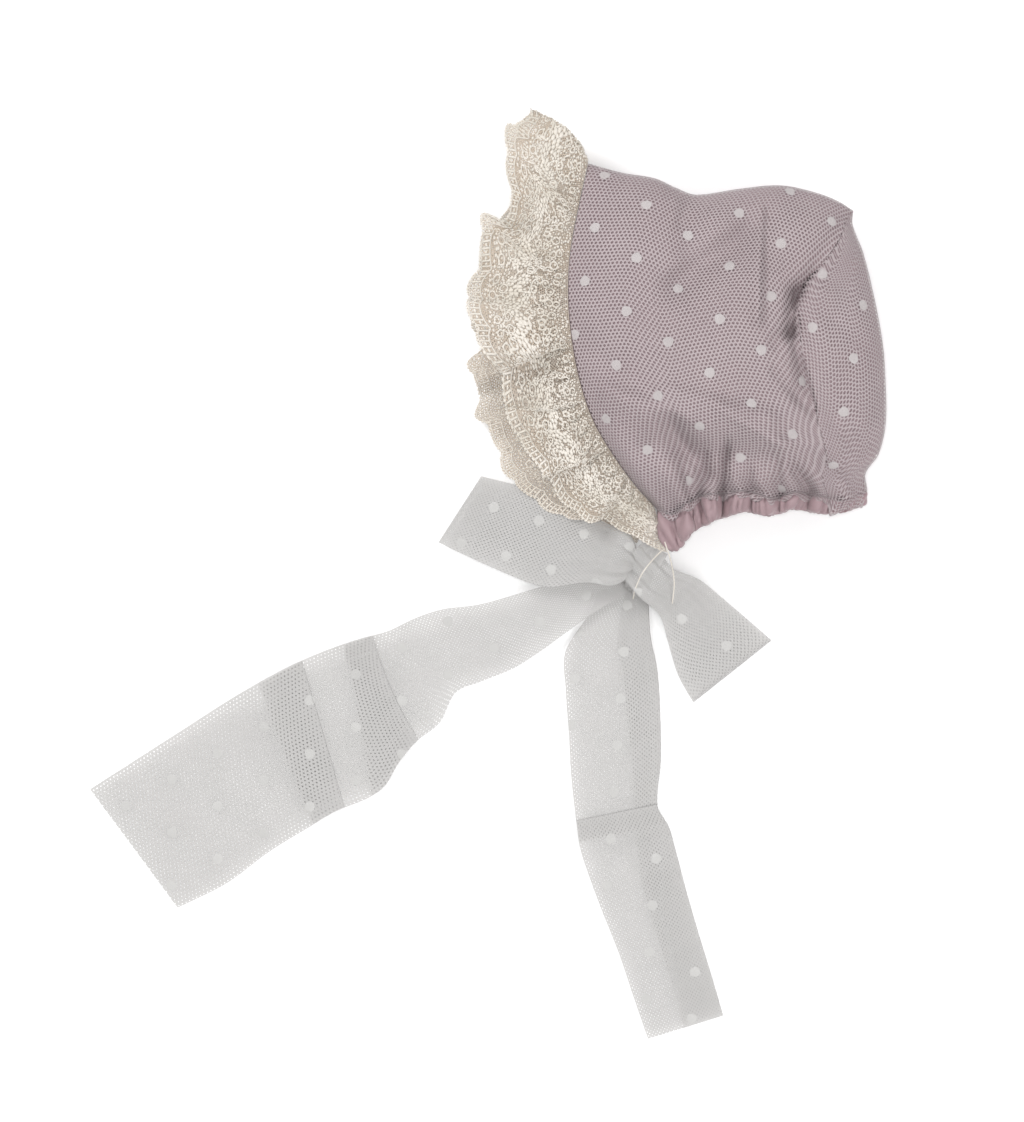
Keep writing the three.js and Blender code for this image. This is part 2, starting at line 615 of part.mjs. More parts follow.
// A loop: out along the top, round the outer fold and back beneath, sinking from the knot to the floor.
function bowLoop(rows, length, root, knotLevel, sinkFrom) {
  const runs = 9;
  const bends = 5;
  const radius = loopHeight / 2 + ribbonWall;
  const place = (along, up) => steps(4).map((c) => {
    const beside = lerp(smooth(rows, 'along', 'low', along), smooth(rows, 'along', 'high', along), c);
    const sunk = THREE.MathUtils.smoothstep(along, sinkFrom, 1);
    const middle = lerp(knotLevel, ribbonWall, sunk) + radius;
    return fromRoot(root, length, along, beside * ribbonWidth, middle + up);
  });
  const arch = (along) => radius * (0.75 + 0.25 * Math.min(1, 2 * along));
  const start = clearStart((along) => [...place(along, arch(along)), ...place(along, -arch(along))]);
  const outward = steps(runs).map((s) => lerp(start, 1 - radius / length, s));
  const outer = outward.map((along) => place(along, arch(along)));
  for (let k = 1; k < bends; k += 1) {
    const bend = (k / bends) * Math.PI;
    outer.push(place(1 - (radius * (1 - Math.sin(bend))) / length, radius * Math.cos(bend)));
  }
  outward.reverse().forEach((along) => outer.push(place(along, -arch(along))));
  return solidBetween(outer, offsetGrid(outer, -ribbonWall));
}

// A short strap from the end of the casing at the chin to the knot.
function strap(side, knotRise) {
  const corner = casingPoint(side, 1);
  const inward = new THREE.Vector3(knotPlace.x - corner.x, knotPlace.y - corner.y, 0).normalize();
  const beside = new THREE.Vector3(-inward.y, inward.x, 0);
  const from = corner.clone().addScaledVector(inward, clearance);
  from.z += (side ? 1 : -1) * casingWall / 2;
  const to = knotPlace.clone().setZ(ribbonWall + knotRise * knotHeight).addScaledVector(inward, -1);
  to.addScaledVector(inward, 1 - knotReach(to) - ribbonWall / 2);
  const outer = pointGrid(steps(5), steps(4), (s, c) => {
    const pleat = 0.4 * ribbonWall * Math.cos(4 * Math.PI * c);
    return from.clone().lerp(to, s)
      .addScaledVector(beside, (c - 0.5) * strapWidth)
      .add(new THREE.Vector3(0, 0, pleat));
  });
  return solidBetween(outer, offsetGrid(outer, -ribbonWall));
}

const clothMaterial = new THREE.MeshStandardMaterial({ color: 0xb1a2a5, roughness: 0.9, metalness: 0 });
const casingMaterial = new THREE.MeshStandardMaterial({ color: 0xaa9399, roughness: 0.7, metalness: 0 });
const laceMaterial = new THREE.MeshStandardMaterial({ color: 0xd4cbc0, roughness: 0.9, metalness: 0 });
const ribbonMaterial = new THREE.MeshStandardMaterial({ color: 0xd2d2d1, roughness: 0.85, metalness: 0 });

const bonnet = new THREE.Group();

function piece(name, geometry, material) {
  const mesh = new THREE.Mesh(geometry, material);
  mesh.name = name;
  bonnet.add(mesh);
}

piece('main_panel', mainPanel(), clothMaterial);
piece('back_panel', backPanel(), clothMaterial);
piece('neck_casing', neckCasing(), casingMaterial);
piece('lace_ruffle', laceRuffle(), laceMaterial);
piece('bow_knot', bowKnot(), ribbonMaterial);
piece('tie_strap_near', strap(0, 0.85), ribbonMaterial);
piece('tie_strap_far', strap(1, 0.66), ribbonMaterial);
piece('tail_left', flatTail(leftTail, leftTailLength, roots.leftTail), ribbonMaterial);
piece('tail_right', foldedTail(rightTail, rightTailLength, roots.rightTail), ribbonMaterial);
piece('bow_loop_left', bowLoop(leftLoop, leftLoopLength, roots.leftLoop, leftLoopLevel, 0.5), ribbonMaterial);
piece('bow_loop_right', bowLoop(rightLoop, rightLoopLength, roots.rightLoop, rightLoopLevel, 0.1), ribbonMaterial);

export default bonnet;
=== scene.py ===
"""A baby bonnet lying on its side, in its cloth: mauve cotton under dotted net, a gathered lace ruffle and a
net ribbon tied in a bow."""
import math

import bmesh
import bpy
import numpy as np
from mathutils import Matrix, Vector
from mathutils.bvhtree import BVHTree


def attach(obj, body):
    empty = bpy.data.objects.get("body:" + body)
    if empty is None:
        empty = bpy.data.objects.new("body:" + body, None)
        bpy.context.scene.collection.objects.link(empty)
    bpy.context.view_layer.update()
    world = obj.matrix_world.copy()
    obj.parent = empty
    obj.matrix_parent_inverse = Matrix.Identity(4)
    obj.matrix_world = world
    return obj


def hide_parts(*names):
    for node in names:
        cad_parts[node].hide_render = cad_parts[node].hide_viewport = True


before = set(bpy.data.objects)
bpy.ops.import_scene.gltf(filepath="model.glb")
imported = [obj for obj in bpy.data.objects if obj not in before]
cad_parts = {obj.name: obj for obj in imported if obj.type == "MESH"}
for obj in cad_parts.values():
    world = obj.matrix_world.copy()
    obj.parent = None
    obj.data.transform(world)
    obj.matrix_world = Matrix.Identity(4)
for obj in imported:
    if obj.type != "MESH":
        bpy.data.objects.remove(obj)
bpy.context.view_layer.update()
MM = 0.001

# Sizes in millimetres, the same as in the part's source
crown_length = 142.0
crown_height = 172.0
crown_puff = 58.0
fold_level = 19.0
corner_gap = 1.2
casing_gap = 0.7
clearance = 0.4
chin_lift = 11.5
casing_width = 10.5
lace_width = 48.0
lace_waves = 9
lace_wave_height = 3.6
top_puff = 4.6  # the lace swells this far beyond a straight line where it is folded over the top
ribbon_width = 66.0
ribbon_wall = 0.9
layer_gap = 0.8
left_tail_length = 255.0
right_tail_length = 200.0
left_loop_length = 82.5
right_loop_length = 58.5
loop_height = 5.0
knot_length = 20.0
knot_width = 13.0
knot_height = 15.0
strap_width = 9.0
drop_to_knot = np.array([-7.7, -30.2])

# Sizes of the finish
net_lift = 0.8  # the net stands this far over the cotton
cotton_wall = 0.8
crown_seam_gap = 0.06  # between the main panel and the back panel
fold_depth = 1.35  # how strongly the finer folds show
net_pitch = 1.85  # from hole to hole
lace_pitch = 1.15
fibre_grain = 2500.0  # waves of the noise in a metre, a fibre or two in width
dot_radius = 2.35
dot_edge = 0.4  # the rounded rim of a dot
lowest = -0.12  # a dot under the crown is pressed down to here
thread_radius = 0.28
casing_lobes = 29
casing_lowest = 0.8  # the casing lies flat on the table from here
scallop = 13.0  # one scallop of the lace edge
lace_cut = 232.0  # lace gathered into one side of the face opening
left_tail_cut = left_tail_length + 102.0  # ribbon in the left tail, with what its two tucks take up
right_tail_cut = right_tail_length + 22.0
right_tail_width = 105.0  # ribbon round the lengthwise fold of the right tail

# The photograph's frame: its size in pixels, the size of a pixel and where its middle is
photo_height = 1122
pixel = 0.45
photo_middle = (-96.3, -92.0)
camera_height = 4.0  # metres
sensor = 36.0


def table(names, rows):
    """A table with named columns."""
    return dict(zip(names.split(), np.array(rows, dtype=float).T))


face_outline = table("x y", [
    [0.275, 0.104], [0.209, 0.164], [0.146, 0.235], [0.082, 0.324], [0.041, 0.418],
    [0.013, 0.53], [0.0, 0.648], [0.006, 0.765], [0.032, 0.883], [0.063, 1.0]])
back_outline = table("x y", [
    [0.943, 0.151], [0.937, 0.193], [0.978, 0.243], [1.0, 0.321], [1.0, 0.426],
    [0.991, 0.53], [0.965, 0.648], [0.93, 0.765], [0.896, 0.841], [0.899, 0.877]])
top_outline = table("x y", [
    [0.063, 1.0], [0.165, 0.977], [0.275, 0.961], [0.339, 0.937], [0.402, 0.919],
    [0.544, 0.935], [0.671, 0.943], [0.782, 0.924], [0.854, 0.901], [0.899, 0.877]])
neck_outline = table("x y", [
    [0.275, 0.104], [0.323, 0.089], [0.373, 0.117], [0.421, 0.138], [0.491, 0.144], [0.563, 0.149],
    [0.639, 0.131], [0.712, 0.146], [0.794, 0.136], [0.877, 0.125], [0.943, 0.151]])
seam_line = table("up back", [
    [0.0, 0.81], [0.12, 0.79], [0.25, 0.755], [0.4, 0.735], [0.55, 0.725], [0.66, 0.745], [0.77, 0.835],
    [0.88, 0.925], [1.0, 1.0]])
folds = table("x0 y0 x1 y1 height reach", [
    [0.88, 0.86, 0.73, 0.68, -0.09, 0.09],
    [0.72, 0.66, 0.735, 0.4, -0.08, 0.08],
    [0.5, 0.93, 0.66, 0.76, -0.08, 0.17],
    [0.63, 0.86, 0.61, 0.6, 0.05, 0.13],
    [0.4, 0.93, 0.38, 0.78, -0.06, 0.12],
    [0.17, 0.37, 0.62, 0.3, 0.05, 0.14],
    [0.25, 0.26, 0.6, 0.23, -0.07, 0.11],
    [0.82, 0.32, 0.97, 0.22, -0.06, 0.12]])
# Finer folds of the near side, in shares of the crown; height, step and reach in millimetres.
# A step raises the cloth on the left of the line and lowers it on the right, over a width of soft.
fine_folds = table("x0 y0 x1 y1 height reach step soft", [
    [0.40, 0.93, 0.36, 0.84, -2.2, 4.0, 0.8, 0.9],
    [0.69, 0.925, 0.34, 0.71, -4.6, 11.0, -4.4, 5.0],
    [0.30, 0.90, 0.12, 0.80, 1.4, 10.0, 0.0, 0.9],
    [0.615, 0.86, 0.60, 0.60, 0.8, 5.0, -2.4, 0.9],
    [0.86, 0.83, 0.70, 0.62, 1.2, 5.0, 2.0, 0.9],
    [0.715, 0.655, 0.70, 0.56, -5.6, 3.2, 2.8, 0.9],
    [0.70, 0.56, 0.655, 0.53, -2.6, 4.0, 0.6, 0.9],
    [0.705, 0.56, 0.775, 0.36, -1.0, 2.6, 1.9, 0.9],
    [0.65, 0.46, 0.76, 0.36, -1.4, 3.0, 0.8, 0.9],
    [0.30, 0.40, 0.62, 0.33, 2.4, 5.0, 0.6, 0.9],
    [0.12, 0.40, 0.36, 0.33, 2.2, 5.0, 0.5, 0.9],
    [0.48, 0.345, 0.66, 0.26, 2.4, 4.5, 0.8, 0.9],
    [0.66, 0.26, 0.84, 0.27, 2.6, 5.0, 0.7, 0.9],
    [0.32, 0.31, 0.42, 0.18, -6.5, 6.0, -1.5, 3.0],
    [0.50, 0.26, 0.49, 0.12, -4.0, 3.0, 2.4, 0.9],
    [0.435, 0.24, 0.42, 0.12, -2.0, 2.6, 1.2, 0.9],
    [0.36, 0.2, 0.38, 0.12, -1.8, 2.4, -1.0, 0.9],
    [0.57, 0.2, 0.575, 0.12, -1.2, 2.0, 0.6, 0.9],
    [0.65, 0.22, 0.66, 0.12, -1.6, 2.4, -0.8, 0.9],
    [0.70, 0.2, 0.76, 0.14, -2.6, 3.0, -1.6, 0.9],
    [0.80, 0.22, 0.90, 0.16, -2.4, 3.6, 1.0, 0.9],
    [0.79, 0.30, 0.98, 0.31, 1.2, 3.0, 0.9, 0.9],
    [0.80, 0.62, 0.96, 0.52, -1.0, 6.0, 0.4, 0.9],
    [0.03, 0.62, 0.30, 0.50, 1.1, 8.0, 0.3, 0.9],
    [0.08, 0.50, 0.26, 0.38, -1.2, 6.0, 0.0, 0.9],
    [0.76, 0.66, 0.82, 0.66, 1.8, 4.0, 0.0, 0.9]])
casing_edge = table("along dx dy", [
    [0.0, -0.1, -1.62], [0.07, 0.26, -1.6], [0.12, 0.16, -1.39], [0.23, 0.07, -1.33], [0.3, -0.05, -1.16],
    [0.41, -0.1, -0.96], [0.5, -0.1, -0.85], [0.63, -0.15, -0.78], [0.81, -0.28, -0.72],
    [0.88, -0.4, -0.6], [0.95, -0.32, -0.6], [1.0, -0.2, -0.68]])
near_lace_edge = table("along dx dy height wave", [
    [0.0, 0.15, -0.458, 0.31, 0.1], [0.105, -0.183, -0.441, 0.36, 0.4], [0.161, -0.349, -0.512, 0.38, 0.5],
    [0.228, -0.489, -0.475, 0.4, 0.5], [0.29, -0.545, -0.38, 0.42, 0.7], [0.358, -0.681, -0.319, 0.4, 1.0],
    [0.426, -0.703, -0.199, 0.38, 1.0], [0.485, -0.69, -0.09, 0.36, 0.6], [0.524, -0.838, -0.11, 0.62, 0.5],
    [0.582, -0.933, -0.027, 0.58, 1.0], [0.636, -0.957, 0.067, 0.52, 1.0], [0.692, -0.835, 0.136, 0.56, 1.0],
    [0.754, -0.808, 0.243, 0.5, 1.0], [0.813, -0.619, 0.257, 0.55, 0.8], [0.894, -0.699, 0.404, 0.46, 0.8],
    [0.953, -0.677, 0.506, 0.42, 0.4], [1.0, -0.562, 0.544, 0.36, 0.0]])
far_lace_edge = table("along dx dy height wave", [
    [0.0, -0.141, -0.347, 0.21, 0.05], [0.1, -0.382, -0.407, 0.23, 0.1], [0.176, -0.6, -0.516, 0.225, 0.15],
    [0.24, -0.75, -0.51, 0.215, 0.15], [0.293, -0.841, -0.465, 0.18, 0.3], [0.357, -0.869, -0.363, 0.13, 0.6],
    [0.408, -0.979, -0.326, 0.1, 0.7], [0.458, -0.915, -0.241, 0.1, 0.8], [0.511, -0.992, -0.176, 0.1, 0.8],
    [0.54, -0.82, -0.12, 0.1, 0.8], [0.58, -0.918, -0.07, 0.1, 0.8], [0.645, -0.846, 0.038, 0.1, 0.8],
    [0.738, -0.785, 0.186, 0.1, 0.8], [0.814, -0.619, 0.256, 0.11, 0.7], [0.878, -0.621, 0.364, 0.14, 0.5],
    [0.943, -0.64, 0.475, 0.2, 0.2], [1.0, -0.562, 0.544, 0.36, 0.0]])
# Folds that run down the near lace from the seam to the edge: where they start along the seam, how far they
# lean towards the chin, how far the lace is tucked under and how far the upper part stands over it.
lace_folds = table("at lean tuck lift width", [
    [0.50, -0.02, 7.0, 5.0, 0.026],
    [0.58, 0.04, 1.2, 1.6, 0.024],
    [0.66, 0.12, 5.0, 6.4, 0.042],
    [0.78, 0.06, 1.4, 1.8, 0.024],
    [0.83, 0.13, 4.4, 5.4, 0.04],
    [0.93, 0.06, 0.6, 0.9, 0.022],
    [0.42, 0.03, 1.6, 2.0, 0.024],
    [0.34, 0.06, 4.2, 4.2, 0.03],
    [0.21, 0.05, 3.6, 3.6, 0.028],
    [0.11, 0.02, 1.4, 1.6, 0.022]])
left_tail = table("along low high height", [
    [0.0, 0.075, -0.14, 0.064], [0.08, 0.081, -0.194, 0.064], [0.16, 0.119, -0.253, 0.062],
    [0.2, 0.14, -0.285, 0.055], [0.26, 0.156, -0.34, 0.03], [0.32, 0.13, -0.429, 0.06],
    [0.37, 0.113, -0.465, 0.09], [0.42, 0.24, -0.475, 0.05], [0.47, 0.275, -0.52, 0.1],
    [0.52, 0.35, -0.555, 0.05], [0.56, 0.44, -0.574, 0.03], [0.6, 0.458, -0.585, 0.05],
    [0.66, 0.432, -0.587, 0.09], [0.72, 0.442, -0.579, 0.045], [0.8, 0.459, -0.556, 0.03],
    [0.9, 0.51, -0.527, 0.025], [1.0, 0.497, -0.498, 0.025]])
right_tail = table("along low high inner height", [
    [0.0, -0.05, 0.3, 0.16, 0.004], [0.04, -0.12, 0.28, 0.1, 0.004], [0.12, -0.34, 0.25, 0.02, 0.004],
    [0.2, -0.385, 0.252, 0.018, 0.02], [0.3, -0.419, 0.215, -0.004, 0.045],
    [0.4, -0.458, 0.163, -0.035, 0.04], [0.5, -0.48, 0.085, -0.068, 0.05],
    [0.55, -0.488, 0.133, -0.09, 0.065], [0.6, -0.472, 0.149, -0.105, 0.045],
    [0.7, -0.42, 0.171, -0.108, 0.04], [0.8, -0.359, 0.2, -0.072, 0.05],
    [0.9, -0.315, 0.234, -0.039, 0.04], [1.0, -0.27, 0.264, -0.01, 0.03]])
left_loop = table("along low high", [
    [0.1, -0.15, 0.16], [0.25, -0.22, 0.26], [0.45, -0.265, 0.335], [0.7, -0.27, 0.32], [1.0, -0.25, 0.27]])
right_loop = table("along low high", [
    [0.12, -0.13, 0.17], [0.3, -0.11, 0.25], [0.5, -0.19, 0.28], [0.75, -0.29, 0.31], [1.0, -0.34, 0.34]])
# Where each ribbon's axis starts, from the knot, in shares of ribbon_width; turn in degrees from +X.
roots = {
    "left_tail": (-0.04, -0.02, -151.5, -0.14),
    "right_tail": (-0.225, -0.1, -79.5, -0.12),
    "left_loop": (-0.02, 0.068, 161.9, 0.265),
    "right_loop": (0.048, 0.0, -47.8, 0.065),
}


def mix(start, end, share):
    return start + (end - start) * share


def steps(count):
    return np.linspace(0, 1, count + 1)


def grid_of(first, second):
    return np.meshgrid(first, second, indexing="ij")


def bell(reach):
    return np.exp(-reach ** 2)


def rounded(share):
    """Rises from 0 to 1 like a quarter of a circle."""
    return np.sqrt(1 - (1 - np.clip(share, 0, 1)) ** 2)


def eased(share):
    share = np.clip(share, 0, 1)
    return share * share * (3 - 2 * share)


def placed(name, data):
    """A new object in the scene, at the origin."""
    obj = bpy.data.objects.new(name, data)
    bpy.context.scene.collection.objects.link(obj)
    return obj


def meshed(name, bm):
    """A new object from a bmesh, which is freed."""
    mesh = bpy.data.meshes.new(name)
    bm.to_mesh(mesh)
    bm.free()
    return placed(name, mesh)


def smooth(rows, key_name, value_name, key):
    """The value of one column of a table at a key, on a smooth line through the rows."""
    keys, values = rows[key_name], rows[value_name]
    last = len(keys) - 1
    at = np.clip(key, keys[0], keys[last])
    k = np.searchsorted(keys[1:last], at, side="left")
    after = np.minimum(np.arange(last + 1) + 1, last)
    before = np.maximum(np.arange(last + 1) - 1, 0)
    slope = (values[after] - values[before]) / (keys[after] - keys[before])
    span = keys[k + 1] - keys[k]
    t = (at - keys[k]) / span
    start = values[k] * (1 + 2 * t) * (1 - t) ** 2 + values[k + 1] * t * t * (3 - 2 * t)
    return start + span * (slope[k] * t * (1 - t) ** 2 + slope[k + 1] * t * t * (t - 1))


def values(rows, names, along):
    """Several columns of a table at a place along it."""
    return [smooth(rows, "along", name, along) for name in names.split()]


def outline(shares):
    """An outline as a line from 0 to 1 along its chords, in millimetres round the crown's middle."""
    rows = {"x": (shares["x"] - 0.5) * crown_length, "y": (shares["y"] - 0.5) * crown_height}
    chords = np.hypot(np.diff(rows["x"]), np.diff(rows["y"]))
    rows["along"] = np.concatenate([[0], np.cumsum(chords)]) / chords.sum()
    return lambda share: np.stack(values(rows, "x y", share), axis=-1)


face_line = outline(face_outline)
back_line = outline(back_outline)
top_line = outline(top_outline)
neck_line = outline(neck_outline)


def plan_place(back, up):
    """The place in plan of a point of the crown: back and up are shares from the face and from the neck."""
    back, up = np.broadcast_arrays(np.asarray(back, float), np.asarray(up, float))
    b, u = back[..., None], up[..., None]
    across = mix(face_line(up), back_line(up), b)
    along = mix(neck_line(back), top_line(back), u)
    bottom = mix(face_line(0.0), back_line(0.0), b)
    top = mix(face_line(1.0), back_line(1.0), b)
    return across + along - mix(bottom, top, u)


def fullness(share, roundness):
    return (1 - np.clip(share, 0, 1) ** roundness) ** (1 / roundness)


def to_line(rows, k, place):
    """Distance of places in plan from a line of a table of folds, and the side of it that they lie on."""
    ax, bx = (rows["x0"][k] - 0.5) * crown_length, (rows["x1"][k] - 0.5) * crown_length
    ay, by = (rows["y0"][k] - 0.5) * crown_height, (rows["y1"][k] - 0.5) * crown_height
    x, y = place[..., 0], place[..., 1]
    length = math.hypot(bx - ax, by - ay)
    share = np.clip(((x - ax) * (bx - ax) + (y - ay) * (by - ay)) / length ** 2, 0, 1)
    side = ((bx - ax) * (y - ay) - (by - ay) * (x - ax)) / length
    return np.hypot(x - mix(ax, bx, share), y - mix(ay, by, share)), side


def seam_at(up):
    return np.minimum(smooth(seam_line, "up", "back", up), 1)


def fine_relief(back, up, place):
    """The finer folds of the near side and the dip along the crown seam, in millimetres."""
    fine = 0
    for k in range(len(fine_folds["height"])):
        distance, side = to_line(fine_folds, k, place)
        fade = bell(distance / fine_folds["reach"][k])
        step = fine_folds["step"][k] * np.tanh(side / fine_folds["soft"][k])
        fine = fine + fade * (fine_folds["height"][k] + step)
    gap = (back - seam_at(up)) * crown_length
    upper = 1 / (1 + np.exp(-(up - 0.6) / 0.04))
    fine = fine - 1.3 * bell(gap / 1.3) * mix(0.15, 1, upper)
    return fine + np.where(gap < 0, 1.1 * bell((gap + 5) / 4), -0.7 * bell((gap - 4) / 5)) * upper


def near_height(back, up, detail=1.0):
    """Height of the near side of the crown; detail 0 leaves out the finer folds."""
    place = plan_place(back, up)
    full = fullness(back, 3) * fullness(up, 2.6)
    drop = 0.3 * np.exp(-back / 0.16) + 0.4 * np.exp(-up / 0.16)
    relief = 0.03 * np.exp(-up / 0.09) * np.sin(2 * np.pi * 8 * back)
    for k in range(len(folds["height"])):
        distance, _ = to_line(folds, k, place)
        relief = relief + folds["height"][k] * bell(distance / (folds["reach"][k] * crown_puff))
    fine = fold_depth * detail * fine_relief(back, up, place)
    return fold_level + ((1 - drop + relief) * crown_puff + fine - fold_level) * full


def fading(reach):
    return np.maximum(1 - reach ** 2, 0) ** 2


def far_height(back, up):
    full = fullness(back, 5) * fullness(up, 4.5)
    chin = chin_lift * fading(up / 0.42) * fading(back / 0.6)
    return np.maximum(fold_level * (1 - full * 1.06), 0) + chin * full


def crown(back, up, far, detail=1.0):
    """Points of the crown; far is true on the far side, and detail 0 leaves out the finer folds."""
    back, up, far = np.broadcast_arrays(np.asarray(back, float), np.asarray(up, float), far)
    height = np.where(far, far_height(back, up), near_height(back, up, detail))
    return np.concatenate([plan_place(back, up), height[..., None]], axis=-1)


def over_fold(share):
    """Shares from one side over a fold to the other, closer together at the fold in the middle."""
    reach = 1 - np.abs(1 - 2 * share)
    return reach + 0.22 * np.sin(np.pi * reach)


def normals(grid, at=(0.5, 0.25), facing=(0, 0, 1)):
    """Unit normals of a grid of points, on the side that faces a direction at one place of the grid."""
    normal = np.cross(np.gradient(grid, axis=0), np.gradient(grid, axis=1))
    normal /= np.linalg.norm(normal, axis=2, keepdims=True) + 1e-12
    row, column = int(at[0] * (grid.shape[0] - 1)), int(at[1] * (grid.shape[1] - 1))
    return normal * (1 if normal[row, column] @ np.array(facing, float) > 0 else -1)


def flat_cut(grid, middle=0.0):
    """Each point's place on the flat cloth, in millimetres from the first row and from one column."""
    down = np.cumsum(np.linalg.norm(np.diff(grid, axis=0), axis=2), axis=0)
    across = np.cumsum(np.linalg.norm(np.diff(grid, axis=1), axis=2), axis=1)
    down = np.concatenate([np.zeros((1, grid.shape[1])), down])
    across = np.concatenate([np.zeros((grid.shape[0], 1)), across], axis=1)
    across -= across[:, [int(middle * (grid.shape[1] - 1))]]
    return np.stack([down, across], axis=-1)


# Finishes
def linear(colour):
    """A colour as sRGB hex, turned to linear light."""
    shares = [int(colour[k:k + 2], 16) / 255 for k in (0, 2, 4)]
    return tuple(s / 12.92 if s <= 0.04045 else ((s + 0.055) / 1.055) ** 2.4 for s in shares) + (1.0,)


def node(tree, kind, settings, inputs):
    """Adds a node with its settings. An input is a value, or a socket that is linked to it."""
    made = tree.nodes.new("ShaderNode" + kind)
    for name, value in settings.items():
        setattr(made, name, value)
    for name, value in inputs.items():
        if isinstance(value, bpy.types.NodeSocket):
            tree.links.new(value, made.inputs[name])
        else:
            made.inputs[name].default_value = value
    return made


def finish(name):
    """A new material, its node tree emptied but for the output."""
    material = bpy.data.materials.new(name)
    material.use_nodes = True
    tree = material.node_tree
    tree.nodes.clear()
    return material, tree, tree.nodes.new("ShaderNodeOutputMaterial")


def honeycomb(tree, place, pitch):
    """The sum of three waves across the cloth: 3 in the middle of a hole, -1.5 where three threads meet."""
    total = None
    for turn in (90, 210, 330):
        step = 2 * math.pi * 2 / math.sqrt(3) / pitch
        across = (step * math.cos(math.radians(turn)), step * math.sin(math.radians(turn)), 0)
        phase = node(tree, "VectorMath", {"operation": "DOT_PRODUCT"}, {0: place, 1: across})
        wave = node(tree, "Math", {"operation": "COSINE"}, {0: phase.outputs["Value"]})
        if total is None:
            total = wave.outputs[0]
        else:
            total = node(tree, "Math", {"operation": "ADD"}, {0: total, 1: wave.outputs[0]}).outputs[0]
    return total


def net_finish(name, colour, shade, pitch, hole, glow, sheen):
    """Knitted net: open holes in a honeycomb of fine thread, which scatters light through the fabric."""
    material, tree, output = finish(name)
    place = node(tree, "UVMap", {"uv_map": "cut"}, {}).outputs["UV"]
    wobble = node(tree, "TexNoise", {}, {"Vector": place, "Scale": 0.25, "Detail": 2.0})
    wobble = node(tree, "VectorMath", {"operation": "SCALE"}, {0: wobble.outputs["Color"], "Scale": 0.6})
    place = node(tree, "VectorMath", {"operation": "ADD"}, {0: place, 1: wobble.outputs[0]}).outputs[0]
    wave = honeycomb(tree, place, pitch)
    spread = node(tree, "TexNoise", {}, {"Vector": place, "Scale": 0.035, "Detail": 1.0})
    spread = node(tree, "MapRange", {}, {"Value": spread.outputs["Fac"], "From Min": 0.3, "From Max": 0.7,
                                         "To Min": -0.25, "To Max": 0.25})
    wave = node(tree, "Math", {"operation": "ADD"}, {0: wave, 1: spread.outputs[0]}).outputs[0]
    cover = node(tree, "MapRange", {"interpolation_type": "SMOOTHSTEP"},
                 {"Value": wave, "From Min": hole + 0.35, "From Max": hole - 0.35})
    tone = node(tree, "TexNoise", {}, {"Vector": place, "Scale": 0.06, "Detail": 4.0})
    tone = node(tree, "Mix", {"data_type": "RGBA"},
                {"Factor": tone.outputs["Fac"], "A": linear(shade), "B": linear(colour)})
    relief = node(tree, "Bump", {}, {"Strength": 0.5, "Distance": 0.0002, "Height": cover.outputs[0]})
    thread = node(tree, "BsdfPrincipled", {},
                  {"Base Color": tone.outputs["Result"], "Roughness": 0.75, "IOR": 1.5, "Sheen Weight": sheen,
                   "Normal": relief.outputs[0]})
    through = node(tree, "BsdfTranslucent", {}, {"Color": tone.outputs["Result"]})
    body = node(tree, "MixShader", {}, {"Fac": glow, 1: thread.outputs[0], 2: through.outputs[0]})
    hole_shader = node(tree, "BsdfTransparent", {}, {})
    whole = node(tree, "MixShader", {},
                 {"Fac": cover.outputs[0], 1: hole_shader.outputs[0], 2: body.outputs[0]})
    tree.links.new(whole.outputs[0], output.inputs["Surface"])
    return material


def cloth_finish(name, colour, shade, thread, sheen, roughness, depth):
    """Woven cloth: two sets of crossing threads under a soft change of tone."""
    material, tree, output = finish(name)
    place = node(tree, "UVMap", {"uv_map": "cut"}, {}).outputs["UV"]
    parts = node(tree, "SeparateXYZ", {}, {0: place})
    waves = []
    for axis in ("X", "Y"):
        phase = node(tree, "Math", {"operation": "MULTIPLY"},
                     {0: parts.outputs[axis], 1: 2 * math.pi / thread})
        waves.append(node(tree, "Math", {"operation": "SINE"}, {0: phase.outputs[0]}).outputs[0])
    weave = node(tree, "Math", {"operation": "MULTIPLY"}, {0: waves[0], 1: waves[1]})
    tone = node(tree, "TexNoise", {}, {"Vector": place, "Scale": 0.08, "Detail": 5.0, "Roughness": 0.6})
    tone = node(tree, "Mix", {"data_type": "RGBA"},
                {"Factor": tone.outputs["Fac"], "A": linear(shade), "B": linear(colour)})
    relief = node(tree, "Bump", {}, {"Strength": 0.4, "Distance": depth, "Height": weave.outputs[0]})
    shader = node(tree, "BsdfPrincipled", {},
                  {"Base Color": tone.outputs["Result"], "Roughness": roughness, "IOR": 1.5,
                   "Sheen Weight": sheen, "Sheen Roughness": 0.4, "Normal": relief.outputs[0]})
    tree.links.new(shader.outputs[0], output.inputs["Surface"])
    return material


